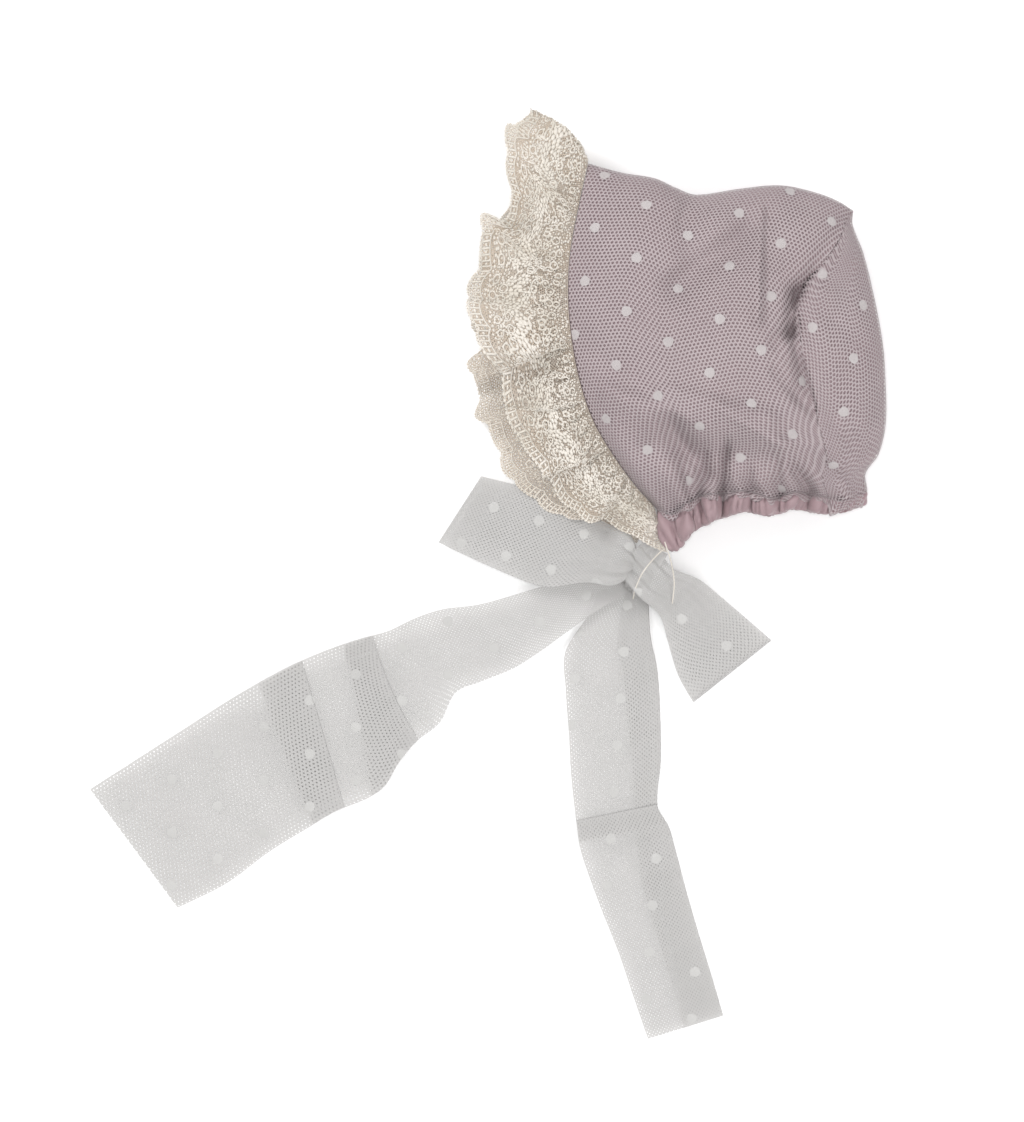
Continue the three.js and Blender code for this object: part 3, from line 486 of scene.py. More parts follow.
def thread_finish(name, colour, shade, grain):
    """Embroidery thread: soft lustre, with a fine twist and a change of tone from stitch to stitch."""
    material, tree, output = finish(name)
    place = node(tree, "TexCoord", {}, {}).outputs["Object"]
    fine = node(tree, "TexNoise", {}, {"Vector": place, "Scale": grain, "Detail": 3.0})
    broad = node(tree, "TexNoise", {}, {"Vector": place, "Scale": 60.0, "Detail": 2.0})
    blend = node(tree, "Math", {"operation": "MULTIPLY"},
                 {0: fine.outputs["Fac"], 1: broad.outputs["Fac"]})
    spread = node(tree, "MapRange", {}, {"Value": blend.outputs[0], "From Min": 0.12, "From Max": 0.4})
    tone = node(tree, "Mix", {"data_type": "RGBA"},
                {"Factor": spread.outputs[0], "A": linear(shade), "B": linear(colour)})
    relief = node(tree, "Bump", {}, {"Strength": 0.5, "Distance": 0.0003, "Height": fine.outputs["Fac"]})
    shader = node(tree, "BsdfPrincipled", {},
                  {"Base Color": tone.outputs["Result"], "Roughness": 0.7, "IOR": 1.5, "Sheen Weight": 0.2,
                   "Normal": relief.outputs[0]})
    tree.links.new(shader.outputs[0], output.inputs["Surface"])
    return material


# Cotton lawn, woven plain: a matt mauve ground that shows dark through the holes of the net
cotton = cloth_finish("cotton lawn, mauve", "A49294", "958388", thread=0.5, sheen=0.1, roughness=0.9,
                      depth=0.0001)
# Cotton sateen, woven smooth: a soft light along the pleats
satin = cloth_finish("cotton sateen, mauve", "A1898C", "8E777C", thread=0.4, sheen=0.25, roughness=0.5,
                     depth=0.00005)
# Knitted cotton net: open over the crown, and finer over the ribbon, so that two layers of it look solid
crown_net = net_finish("cotton net, rose white", "B9ADAF", "AFA3A5", net_pitch, hole=0.05, glow=0.2,
                       sheen=0.15)
ribbon_net = net_finish("cotton net, off white", "CAC8C7", "C3C2C0", net_pitch, hole=1.8, glow=0.3, sheen=0.1)
# The lace's fine net, cream; the darker warm tan mixed into it at random places is painted shade, standing in
# for the warm shade in the lace's folds
lace_net = net_finish("lace ground, cream", "D0C8BF", "C4B19C", lace_pitch, hole=0.3, glow=0.35, sheen=0.1)
# Mercerised cotton thread: bright raised stitches
embroidery = thread_finish("mercerised embroidery cotton, cream", "E2DCD4", "C9C2B6", fibre_grain)
# Flock glued on in dots: matt, a little lighter than the net
dot_thread = thread_finish("flock dots, white", "B7B1B1", "A8A1A1", fibre_grain)
ribbon_dot_thread = thread_finish("flock dots, off white", "BCBBB9", "B3B2B0", fibre_grain)


# Pieces
def finished(obj, material, replaced=()):
    """Gives a piece its material and smooth shading, hangs it on the root body, and hides the nodes it stands
    for.
    """
    obj.data.materials.append(material)
    obj.data.shade_smooth()
    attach(obj, "root")
    if replaced:
        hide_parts(*replaced)
    return obj


def cloth(name, grid, facing, cut, closed=False):
    """A sheet of cloth through a grid of points in millimetres. facing holds the outward normals, and cut
    each point's place on the flat cloth."""
    rows, columns = grid.shape[:2]
    bm = bmesh.new()
    bmesh.ops.create_grid(bm, x_segments=columns - 1, y_segments=rows - 1, size=0.5)
    cut_layer = bm.loops.layers.uv.new("cut")
    index = {vert.index: (round((vert.co.y + 0.5) * (rows - 1)), round((vert.co.x + 0.5) * (columns - 1)))
             for vert in bm.verts}
    i, j = rows // 2, columns // 4
    span = np.cross(grid[i, j + 1] - grid[i, j], grid[i + 1, j] - grid[i, j])
    if span @ facing[i, j] < 0:
        bmesh.ops.reverse_faces(bm, faces=bm.faces)
    for face in bm.faces:
        for loop in face.loops:
            loop[cut_layer].uv = cut[index[loop.vert.index]]
    for vert in bm.verts:
        vert.co = grid[index[vert.index]] * MM
    if closed:
        bmesh.ops.remove_doubles(bm, verts=bm.verts, dist=1e-6)
        bmesh.ops.recalc_face_normals(bm, faces=bm.faces)
    return meshed(name, bm)


def walled(obj, thickness):
    """Gives a sheet its thickness, inwards from its outer face."""
    wall = obj.modifiers.new("wall", "SOLIDIFY")
    wall.thickness = thickness * MM
    wall.offset = -1
    return obj


def area_of(grid):
    """The flat area of a sheet in square metres, from the points it goes through."""
    a = grid[1:, :-1] - grid[:-1, :-1]
    b = grid[:-1, 1:] - grid[:-1, :-1]
    return float(np.linalg.norm(np.cross(a, b), axis=2).sum()) * MM * MM


def declare(grid, layers=1):
    """Works out the size that a sheet was cut to: its area, since the cut isn't a rectangle, and its length,
    the cut's longest but no more than makes a narrow strip 12 mm wide. Neither is used further."""
    area = area_of(grid) / layers
    length = min(float(flat_cut(grid).max()) * MM, 90 * area)


# The camera looks straight down, at the photograph's scale
camera = placed("camera", bpy.data.cameras.new("camera"))
camera.location = (photo_middle[0] * MM, photo_middle[1] * MM, camera_height)
camera.data.sensor_width = sensor
camera.data.lens = camera_height * sensor / (photo_height * pixel * MM)
camera.data.clip_end = 20
bpy.context.scene.camera = camera


# Two loose ends of sewing thread at the chin corner
def loose_thread(name, points):
    """A limp end of thread through points in millimetres."""
    curve = bpy.data.curves.new(name, "CURVE")
    curve.dimensions = "3D"
    curve.bevel_depth = thread_radius * MM
    curve.bevel_resolution = 2
    curve.use_fill_caps = True
    spline = curve.splines.new("POLY")
    share = np.linspace(0, 1, 40)
    rows = {"along": np.linspace(0, 1, len(points)), **table("x y z", points)}
    line = np.stack(values(rows, "x y z", share), axis=-1) * MM
    spline.points.add(len(line) - 1)
    for point, place in zip(spline.points, line):
        point.co = (*place, 1)
    obj = placed(name, curve)
    curve.materials.append(embroidery)
    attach(obj, "root")


loose_thread("thread_end_left", [
    (-29.5, -87.5, 27.0), (-32.0, -90.0, 26.5), (-35.5, -94.0, 22.0),
    (-38.5, -98.5, 19.0), (-41.0, -104.5, 14.5), (-42.0, -109.0, 9.0)])
loose_thread("thread_end_right", [
    (-28.0, -83.5, 25.5), (-26.5, -88.0, 27.5), (-25.3, -92.0, 25.5),
    (-24.2, -97.0, 21.5), (-23.6, -103.0, 17.5), (-24.4, -111.0, 13.0)])

# The studio: white paper under soft light from every side, which leaves almost no shadow
paper = bmesh.new()
bmesh.ops.create_grid(paper, x_segments=1, y_segments=1, size=6)
bmesh.ops.translate(paper, verts=paper.verts, vec=(0, 0, -0.2 * MM))
floor = meshed("floor", paper)
floor_finish, tree, output = finish("matt white studio paper")
white = node(tree, "BsdfPrincipled", {}, {"Base Color": linear("FFFFFF"), "Roughness": 0.9})
tree.links.new(white.outputs[0], output.inputs["Surface"])
floor.data.materials.append(floor_finish)

world = bpy.data.worlds.new("studio")
bpy.context.scene.world = world
world.use_nodes = True
world.node_tree.nodes["Background"].inputs["Color"].default_value = (1, 1, 1, 1)
world.node_tree.nodes["Background"].inputs["Strength"].default_value = 0.5
bpy.context.scene.view_settings.view_transform = "Standard"
lit_place = Vector((-0.05, -0.05, 0))
for name, place, size, power in (
        ("key", (-1.35, 1.15, 1.35), 0.9, 27.0),
        ("fill", (1.1, -1.0, 1.5), 1.4, 23.0),
        ("overhead", (-0.1, -0.05, 3.6), 0.3, 38.0)):
    lamp = placed(name, bpy.data.lights.new(name, "AREA"))
    lamp.data.size = size
    lamp.data.energy = power
    lamp.location = place
    lamp.rotation_euler = (lit_place - Vector(place)).to_track_quat("-Z", "Y").to_euler()


# The net's rolled lower edge, from the inside of its turn up to the crown: share of the bulge, and drop
roll = table("out drop", [[0.5, -0.6], [0.85, 0.2], [1.0, 1.3], [0.93, 2.2], [0.65, 2.6], [0.3, 1.7]])


def neck_roll(edge, along, far):
    """Rows of net that bulge over the casing's top edge and turn under."""
    dx, dy = values(casing_edge, "dx dy", along)
    reach = np.hypot(dx, dy)
    bulge = 1.3 + 2.8 * np.abs(np.sin(2 * np.pi * 3.7 * along + 0.5)) ** 0.7
    bulge = bulge + 0.6 * np.sin(2 * np.pi * 13 * along)
    bulge = bulge + 4.5 / (1 + np.exp(-(along - 0.83) / 0.012))
    bulge = np.where(far, 0.8, bulge) * np.clip(along / 0.06, 0.2, 1)
    rows = []
    for out, drop in zip(roll["out"], roll["drop"]):
        fall = np.where(far, 0.3 * drop + 0.5, drop) + 0 * reach
        rows.append(edge + np.stack([dx / reach * out * bulge, dy / reach * out * bulge, fall], axis=-1))
    return rows


def main_grid(detail=1.0):
    """The main panel, which wraps from the near side over the top to the far side."""
    station, around = grid_of(main_rows, main_columns)
    up = over_fold(around)
    return crown(station * (seam_at(up) - crown_seam_gap / crown_length), up, around > 0.5, detail)


def back_grid(detail=1.0):
    """The back panel, which wraps round the back of the head."""
    rise, around = grid_of(back_rows, back_columns)
    up = np.minimum(over_fold(rise / 2), 0.998)
    back = mix(np.minimum(seam_at(up) + crown_seam_gap / crown_length, 1), 1, over_fold(around))
    return crown(back, up, around > 0.5, detail)


def lining_under(name, points, node_name):
    """The cotton under the net of a panel."""
    out = normals(points)
    under = points - out * net_lift
    lining = walled(cloth(name, under, out, flat_cut(under, 0.5)), cotton_wall)
    finished(lining, cotton, [node_name])
    declare(under)
    return lining


def net_over(name, points, plain):
    """The net over a lining. Its pattern lies on the cloth as it is without the finer folds, plain."""
    net = cloth(name, points, normals(points), flat_cut(plain, 0.5))
    finished(net, crown_net)
    declare(points)
    return net


main_rows, main_columns = steps(120), steps(220)
back_rows, back_columns = steps(110), steps(130)

main_points = main_grid()
main_lining = lining_under("main_panel_cotton", main_points, "main_panel")
near_neck = neck_roll(main_points[:, 0], main_rows * seam_at(0.0), False)
far_neck = neck_roll(main_points[:, -1], main_rows * seam_at(0.0), True)
near_neck, far_neck = np.stack(near_neck, axis=1), np.stack(far_neck[::-1], axis=1)
main_net = net_over("main_panel_net", np.concatenate([near_neck, main_points, far_neck], axis=1),
                    np.concatenate([near_neck, main_grid(0.0), far_neck], axis=1))

back_points = back_grid()
back_lining = lining_under("back_panel_cotton", back_points, "back_panel")
back_neck = np.stack(
    neck_roll(back_points[0], mix(seam_at(0.0), 1, over_fold(back_columns)), back_columns > 0.5), axis=0)
back_net = net_over("back_panel_net", np.concatenate([back_neck, back_points], axis=0),
                    np.concatenate([back_neck, back_grid(0.0)], axis=0))


# Dots on the crown: an even lattice as the cloth lies, on the near and the far side
def surface_of(*objects):
    """Everything that the objects' own faces cover, to find places on it."""
    points, faces = [], []
    for obj in objects:
        start = len(points)
        points.extend(v.co[:] for v in obj.data.vertices)
        faces.extend([start + v for v in p.vertices] for p in obj.data.polygons)
    return BVHTree.FromPolygons(points, faces)


def dot(bm, surface, middle, facing, lift, seed):
    """A flat round dot with a soft, slightly uneven edge, laid on a surface."""
    helper = Vector((0.3, 0.9, 0.1)) if abs(facing.z) > 0.5 else Vector((0, 0, 1))
    side = facing.cross(helper).normalized()
    ahead = side.cross(facing).normalized()
    disc = bmesh.ops.create_circle(bm, cap_ends=True, cap_tris=True, segments=20, radius=dot_radius * MM)
    rim = disc["verts"]
    inset = bmesh.ops.inset_region(
        bm, faces=list({f for v in rim for f in v.link_faces}), thickness=dot_edge * MM, depth=0.0)
    for vert in set(rim) | {v for f in inset["faces"] for v in f.verts}:
        reach = vert.co.length / (dot_radius * MM)
        angle = math.atan2(vert.co.y, vert.co.x)
        wave = 1 + 0.05 * math.sin(3 * angle + seed) + 0.04 * math.sin(5 * angle + 2.3 * seed)
        flat = middle + side * vert.co.x * wave + ahead * vert.co.y * wave
        near, normal, _, _ = surface.find_nearest(flat)
        if normal.dot(facing) < 0:
            normal = -normal
        rise = lift * (1 if reach < 0.95 else 0.1)
        vert.co = near + normal * rise * MM
        vert.co.z = max(vert.co.z, lowest * MM)


def dots_on(name, objects, origin, first, second, lift, sides, material, steepest=0.25):
    """Dots in an even lattice over pieces, as it is seen from above. The lattice runs from its origin by its
    two steps, in millimetres; sides holds where to look from: above, below or both."""
    surface = surface_of(*objects)
    bm = bmesh.new()
    for a in range(-16, 17):
        for b in range(-16, 17):
            x = (origin[0] + first[0] * a + second[0] * b) * MM
            y = (origin[1] + first[1] * a + second[1] * b) * MM
            for high in sides:
                away = Vector((0, 0, -high)).normalized()
                place, normal, _, _ = surface.ray_cast(Vector((x, y, high)), away)
                if place is None or abs(normal.z) < steepest:
                    continue
                facing = normal if normal.z * high > 0 else -normal
                dot(bm, surface, place, facing, lift, a * 2.1 + b * 1.3)
    bmesh.ops.recalc_face_normals(bm, faces=bm.faces)
    finished(meshed(name, bm), material)


dots_on("crown_dots", [main_net, back_net], (-4.0, 15.5), (-4.5, -23.85), (18.45, -13.7), 0.35, (0.2, -0.2),
        dot_thread)


# The neck casing: sateen gathered over elastic
def casing_place(around, across):
    along = mix(corner_gap / crown_length, 1, over_fold(around))
    edge = crown(along, np.zeros_like(along), around > 0.5)
    dx, dy = casing_width * np.array(values(casing_edge, "dx dy", along))
    reach = np.hypot(dx, dy)
    share = (casing_gap + across * (reach - casing_gap)) / reach
    turn = np.where(around > 0.5, 0.7, -0.12 * casing_width * across)
    return edge + np.stack([dx * share, dy * share, turn], axis=-1)


def casing_grid(count):
    around, ring = grid_of(steps(count), steps(32))
    angle = 2 * np.pi * ring
    along = over_fold(around)
    turn = np.where(around > 0.5, 2 - along, along)
    across = 0.5 + 0.5 * np.sign(np.cos(angle)) * np.abs(np.cos(angle)) ** 0.75
    uneven = 0.5 * np.sin(2 * np.pi * 4.3 * turn) + 0.4 * np.sin(2 * np.pi * 9.7 * turn + 1)
    phase = np.pi * (casing_lobes * turn + uneven)
    slant = 1.8 * (across - 0.5) * np.sin(2 * np.pi * 3.1 * turn + 0.5)
    slant = slant - 8.0 * (across - 0.5) * np.exp(-turn / 0.14)
    lobe = np.abs(np.sin(phase + slant)) ** 0.62
    minor = np.abs(np.sin(2.6 * phase + 2.5 * across))
    end = np.clip(np.minimum(around, 1 - around) * 64, 0, 1)
    wide = mix(0.6, 1, rounded(end)) * (1 + 0.06 * (lobe - 0.6))
    middle = casing_place(around, across * wide)
    base = casing_place(*grid_of(steps(count), steps(2)))
    out = normals(base, at=(0.25, 0.5))[:, 1][:, None, :]
    thick = (0.2 + 2.5 * lobe + 0.35 * minor) * rounded(end * 3)
    rise = np.sign(np.sin(angle)) * np.abs(np.sin(angle)) ** 0.7
    rolled = middle + out * (rise * thick)[..., None] - out * 1.0
    rolled[..., 2] = np.maximum(rolled[..., 2], casing_lowest)
    return rolled


casing_points = casing_grid(560)
casing_out = normals(casing_points, at=(0.25, 0.25))
casing = cloth("neck_casing_sateen", casing_points, casing_out, flat_cut(casing_points), closed=True)
finished(casing, satin, ["neck_casing"])
declare(casing_points, layers=2)


# The lace
def lace_place(flat, across):
    """Points of the lace: flat is the place along the cut lace in millimetres, from the near chin corner over
    the top to the far chin corner; across goes from the seam to the edge in millimetres."""
    around = np.clip(flat / (2 * lace_cut), 0, 1)
    share = np.clip(across / lace_width, 0, None)
    far = around > 0.5
    reach_up = 1 - np.abs(1 - 2 * around)
    along = mix(corner_gap / crown_height, 1, reach_up)
    shift, lift = 0, 0
    for k in range(len(lace_folds["at"])):
        t = (along - lace_folds["at"][k] - lace_folds["lean"][k] * share) / lace_folds["width"][k]
        shift = shift - lace_folds["tuck"][k] * share ** 0.8 * 2.33 * t * np.exp(-t * t)
        over = 0.5 * (1 + np.tanh(1.6 * t)) * np.exp(-np.clip(t, 0, None) / 4)
        lift = lift + lace_folds["lift"][k] * share ** 0.7 * over
    shift, lift = np.where(far, 0.25 * shift, shift), np.where(far, 0, lift)
    seam = crown(np.zeros_like(along), along, far)
    names = "dx dy wave height"
    dx, dy, size, edge_height = np.where(
        far, values(far_lace_edge, names, along), values(near_lace_edge, names, along))
    dx, dy, size = dx * lace_width, dy * lace_width, size * lace_wave_height
    wave = size * share ** 1.2 * np.sin(2 * np.pi * lace_waves * along)
    small = 0.9 * share ** 0.8 * np.sin(2 * np.pi * 21 * along + 1.0 + 2 * share)
    wave = wave + small * np.minimum(size / 2, 1)
    gathers = 0.8 * np.sin(2 * np.pi * 31 * along + 1.2 * np.sin(9 * along))
    gathers = bell((share - 0.2) / 0.2) * (gathers + 0.35 * np.sin(2 * np.pi * 57 * along))
    reach = np.hypot(dx, dy)
    out = (clearance + share * (reach - clearance)) / reach
    puff = top_puff * np.sin(np.pi * np.minimum(share, 1) ** 0.8) * bell((1 - along) / 0.05)
    height = mix(seam[..., 2], edge_height * crown_puff, np.sin(share * np.pi / 2)) + wave + gathers + lift
    return np.stack([seam[..., 0] + dx * out - 0.25 * shift + 0.7 * puff,
                     seam[..., 1] + dy * out + shift + 0.7 * puff, np.maximum(height, 1.0)], axis=-1)


def scallop_edge(flat):
    """How far the lace reaches at a place along it, with its scallops."""
    return lace_width - 2.4 * (1 - np.abs(np.sin(np.pi * flat / scallop)) ** 0.8)


flat, share = grid_of(np.linspace(0, 2 * lace_cut, 700), steps(30))
lace_cut_place = np.stack([flat, share * scallop_edge(flat)], axis=-1)
lace_points = lace_place(lace_cut_place[..., 0], lace_cut_place[..., 1])
lace_out = normals(lace_points, at=(0.25, 0.5))
lace_ground = cloth("lace_ground", lace_points, lace_out, lace_cut_place)
finished(lace_ground, lace_net, ["lace_ruffle"])


def curve_strokes(name, strokes, radius):
    """Raised cords along lines on the flat lace, as one mesh."""
    curve = bpy.data.curves.new(name, "CURVE")
    curve.dimensions = "3D"
    curve.bevel_depth = radius
    curve.bevel_resolution = 0
    for stroke, loop in strokes:
        spline = curve.splines.new("POLY")
        spline.points.add(len(stroke) - 1)
        for point, place in zip(spline.points, stroke):
            point.co = (place[0], place[1], 0, 1)
        spline.use_cyclic_u = loop
    obj = placed(name, curve)
    mesh = bpy.data.meshes.new_from_object(obj.evaluated_get(bpy.context.evaluated_depsgraph_get()))
    bpy.data.objects.remove(obj)
    bpy.data.curves.remove(curve)
    return mesh


def arc(x, y, radius, start, end, count, grow=0.0):
    """Points on an arc or spiral, angles in degrees; grow widens it towards its end."""
    turns = np.radians(np.linspace(start, end, count))
    reach = radius * (1 + grow * np.linspace(0, 1, count))
    return np.stack([x + reach * np.cos(turns), y + reach * np.sin(turns)], axis=-1)


# One repeat of the embroidery, two scallops long, in millimetres on the flat lace
repeat = 2 * scallop
cords, petals = [], []
for x, y, radius in ((2.6, 5.4, 1.5), (8.4, 8.0, 2.0), (15.0, 5.6, 1.6), (21.4, 8.6, 2.1), (12.0, 11.6, 1.3),
                     (25.0, 14.2, 1.4), (4.6, 13.8, 1.6), (18.2, 13.4, 1.5)):
    cords.append((arc(x, y, radius, 20 * x, 20 * x + 330, 9), True))
for x, y, turn in ((5.6, 10.4, 1), (14.2, 8.8, -1), (22.6, 12.2, 1), (9.4, 16.6, -1), (0.8, 18.6, 1),
                   (20.6, 17.8, -1)):
    cords.append((arc(x, y, 1.2, -90 * turn, 300 * turn, 10, 0.9), False))
    start, end = (170, 60) if turn > 0 else (10, 120)
    cords.append((arc(x + 2.8 * turn, y + 3.6, 4.0, start, end, 6), False))
for x, y, size in ((4.2, 21.6, 1.0), (8.6, 24.6, 1.15), (3.4, 26.6, 0.9), (15.6, 22.0, 1.1),
                   (19.4, 25.6, 1.2), (13.8, 27.0, 0.95), (24.4, 22.6, 1.05), (11.8, 19.8, 0.8)):
    for k in range(6):
        angle = math.radians(60 * k + 13 * x)
        petals.append((x + 1.75 * size * math.cos(angle), y + 1.75 * size * math.sin(angle), 0.98 * size))
    petals.append((x, y, 0.65 * size))
for x, y, turn in ((6.4, 29.8, 1), (17.2, 30.4, -1), (23.0, 28.8, 1), (11.2, 31.2, 1)):
    cords.append((arc(x, y, 1.3, 0, 420 * turn, 13, 0.8), False))
for x, y, lean in ((1.6, 30.4, 40), (9.6, 28.4, -30), (14.2, 32.6, 20), (20.4, 31.6, -50), (25.4, 31.0, 60)):
    for k in (-1, 0, 1):
        angle = math.radians(lean + 32 * k)
        petals.append((x + 1.5 * math.cos(angle), y + 1.5 * math.sin(angle), 0.62))
for x in (3.4, 9.8, 16.4, 22.8):
    cords.append((arc(x, 35.0, 1.75, 0, 330, 9), True))
for k in range(14):
    x = 0.9 + k * repeat / 14
    petals.append((x, 38.4 + 0.7 * math.sin(k * 1.7), 0.7))
line = np.linspace(0, repeat, 23)
border = scallop_edge(line)
for inset in (0.9, 6.0):
    cords.append((np.stack([line, border - inset], axis=-1), False))
for k in range(12):
    x = (k + 0.5) * repeat / 12
    edge = float(scallop_edge(np.array(x)))
    cords.append((np.array([[x, edge - 1.2], [x, edge - 5.7]]), False))
    petals.append((x + repeat / 24, float(scallop_edge(np.array(x + repeat / 24))) - 3.5, 0.72))
for k in range(18):
    x = (k + 0.5) * repeat / 18
    petals.append((x, float(scallop_edge(np.array(x))) - 0.2, 0.62))

# Small raised stitches that fill the ground between the motifs
scatter = np.random.default_rng(11)
fill = []
for x, y, size, keep in scatter.uniform((0, 0.8, 0.45, 0), (repeat, 37.5, 0.85, 1), (900, 4)):
    crowded = any((x - u) ** 2 + (y - v) ** 2 < (0.85 * (size + w)) ** 2 for u, v, w in fill)
    if not crowded and keep < 0.55 + 0.45 * min(max((y - 6) / 10, 0), 1):
        fill.append((x, y, size))

cord_mesh = curve_strokes("embroidery_cords", cords, 0.42)
one = bmesh.new()
one.from_mesh(cord_mesh)
bpy.data.meshes.remove(cord_mesh)
for x, y, radius in petals:
    petal = bmesh.ops.create_uvsphere(one, u_segments=7, v_segments=4, radius=radius)
    bmesh.ops.scale(one, verts=petal["verts"], vec=(1, 1, 0.5))
    bmesh.ops.translate(one, verts=petal["verts"], vec=(x, y, 0.1))
filling = bmesh.new()
for x, y, radius in fill:
    stitch = bmesh.ops.create_uvsphere(filling, u_segments=6, v_segments=3, radius=radius)
    bmesh.ops.scale(filling, verts=stitch["verts"], vec=(1, 1, 0.5))
    turned = Matrix.Rotation(7 * x + y, 3, "Z")
    bmesh.ops.rotate(filling, verts=stitch["verts"], cent=(0, 0, 0), matrix=turned)
    bmesh.ops.translate(filling, verts=stitch["verts"], vec=(x, y, 0.0))


def embroidered(name, one):
    """One repeat of stitches, every second time mirrored, laid along the whole lace."""
    repeat_mesh = bpy.data.meshes.new(name)
    one.to_mesh(repeat_mesh)
    one.free()
    whole = bmesh.new()
    for k in range(int(2 * lace_cut / repeat) + 1):
        start = len(whole.verts)
        whole.from_mesh(repeat_mesh)
        whole.verts.ensure_lookup_table()
        verts = whole.verts[start:]
        if k % 2:
            bmesh.ops.scale(whole, verts=verts, vec=(-1, 1, 1))
        bmesh.ops.translate(whole, verts=verts, vec=((k + k % 2) * repeat, 0, 0))
    bmesh.ops.delete(
        whole, geom=[v for v in whole.verts if not 0.5 < v.co.x < 2 * lace_cut - 0.5], context="VERTS")
    bmesh.ops.recalc_face_normals(whole, faces=whole.faces)
    whole.to_mesh(repeat_mesh)
    whole.free()
    raw = np.empty(len(repeat_mesh.vertices) * 3)
    repeat_mesh.vertices.foreach_get("co", raw)
    raw = raw.reshape(-1, 3)
    drift = np.sin(0.11 * raw[:, 0] + 0.23 * raw[:, 1]) * np.sin(np.pi * raw[:, 1] / lace_width)
    raw[:, 0] += 1.3 * drift
    raw[:, 1] += 0.9 * drift * np.cos(0.19 * raw[:, 0])
    step = 0.4
    here = lace_place(raw[:, 0], raw[:, 1])
    ahead = lace_place(raw[:, 0] + step, raw[:, 1]) - lace_place(raw[:, 0] - step, raw[:, 1])
    aside = lace_place(raw[:, 0], raw[:, 1] + step) - lace_place(raw[:, 0], raw[:, 1] - step)
    out = np.cross(ahead, aside)
    out /= np.linalg.norm(out, axis=1, keepdims=True) + 1e-9
    near = raw[:, 0] < lace_cut
    out *= 1 if out[near, 2].mean() > 0 else -1
    here = here + out * (raw[:, 2] + 0.15)[:, None]
    repeat_mesh.vertices.foreach_set("co", (here * MM).ravel())
    return finished(placed(name, repeat_mesh), embroidery)


lace_work = [embroidered("lace_embroidery", one), embroidered("lace_filling_stitches", filling)]
declare(lace_points)


# The ribbon
knot_place = face_line(0.0) + drop_to_knot


def from_root(root, length, along, beside, height):
    """A point of a ribbon: along its axis in shares of its length, beside the axis in millimetres."""
    x, y, turn, slant = root
    angle = math.radians(turn)
    ahead = along * length + slant * beside * along ** 3
    return np.stack([
        knot_place[0] + x * ribbon_width + ahead * math.cos(angle) - beside * math.sin(angle),
        knot_place[1] + y * ribbon_width + ahead * math.sin(angle) + beside * math.cos(angle),
        height + 0 * ahead], axis=-1)


def tucked(place, tucks):
    """Where a place along the cloth of a ribbon comes to lie, and how far it is lifted, with tucks folded
    over: each a place along the ribbon, the width of its overlap and the lift at its end."""
    total, rise = 0, 0
    for offset in (-1.2, -0.6, 0, 0.6, 1.2):
        cut, along, extra = place + offset, place + offset, 0
        for at, overlap, lift in tucks:
            start = at + overlap / 2 + extra
            along = along - 2 * np.clip(cut - start, 0, overlap)
            climb = np.clip((cut - start) / (2 * overlap), 0, 1)
            rise = rise + 0.2 * lift * (climb - np.clip((cut - start - 2 * overlap) / 25, 0, 1))
            extra = extra + 2 * overlap
        total = total + along / 5
    return total, rise


def left_tail_place(cut, across):
    """A point of the left tail: cut in millimetres along its cloth, across a share from its high to its low
    edge."""
    lean = (across - 0.5) * 14.0
    tucks = [(128.0, 15.0 + 18.0 * across ** 2, 1.6), (165.0, 23.0 - 5.0 * across, 1.8)]
    extra = 2 * (tucks[0][1] + tucks[1][1])
    cut = cut * (left_tail_length + extra) / left_tail_cut
    along, rise = tucked(cut - lean, tucks)
    along = (along + lean) / left_tail_length
    low, high, height = values(left_tail, "low high height", along)
    beside = mix(high, low, across)
    height = height * crown_puff
    curl = 1 - 0.5 * np.sin(np.pi * across) * (1 - np.exp(-((along / 0.3) ** 4)))
    ripple = 0.35 * np.sin(2 * np.pi * (along * 9 + 0.3 * across)) * (0.4 + 0.6 * np.sin(np.pi * across))
    return from_root(roots["left_tail"], left_tail_length, along, beside * ribbon_width,
                     ribbon_wall + np.maximum(height * curl + ripple * 0.8, 0) + rise)


def ribbon_sheet(name, node_name, place, end, columns, rows, width):
    """A ribbon from 0 to end along its cloth. width is its cut width in millimetres."""
    cut, share = grid_of(np.linspace(0, end, rows), steps(columns))
    points = place(cut, share)
    obj = cloth(name, points, normals(points), np.stack([cut, share * width], axis=-1))
    finished(obj, ribbon_net, [node_name])
    declare(points)
    return obj


tail_left = ribbon_sheet("ribbon_tail_left", "tail_left", left_tail_place, left_tail_cut, 48, 560,
                         ribbon_width)


def right_tail_place(cut, ring):
    """A point of the right tail, folded lengthwise: ring goes over the top, round the fold and under."""
    along, rise = tucked(cut, [(104.0, 11.0, 1.2)])
    along = along / right_tail_length
    radius = ribbon_wall / 2 + layer_gap / 2
    low, high, inner = ribbon_width * np.array(values(right_tail, "low high inner", along))
    height = smooth(right_tail, "along", "height", along) * crown_puff
    upper = np.clip(ring / 0.6, 0, 1)
    bend = np.clip((ring - 0.6) / 0.08, 0, 1) * np.pi
    lower = np.clip((ring - 0.68) / 0.32, 0, 1)
    beside = np.where(ring < 0.68, high - radius * (1 - np.sin(bend)), mix(high - radius, inner, lower))
    beside = np.where(ring < 0.6, mix(low, high - radius, upper), beside)
    level = np.where(ring < 0.6, radius * (1.65 + 0.35 * upper), radius * (1 + np.cos(bend)))
    ripple = 0.35 * np.sin(2 * np.pi * (along * 11 + 0.4 * ring))
    return from_root(roots["right_tail"], right_tail_length, along, beside,
                     0.5 + height * 0.6 + level + np.maximum(ripple, 0) + rise)


tail_right = ribbon_sheet("ribbon_tail_right", "tail_right", right_tail_place, right_tail_cut, 90, 330,
                          right_tail_width)


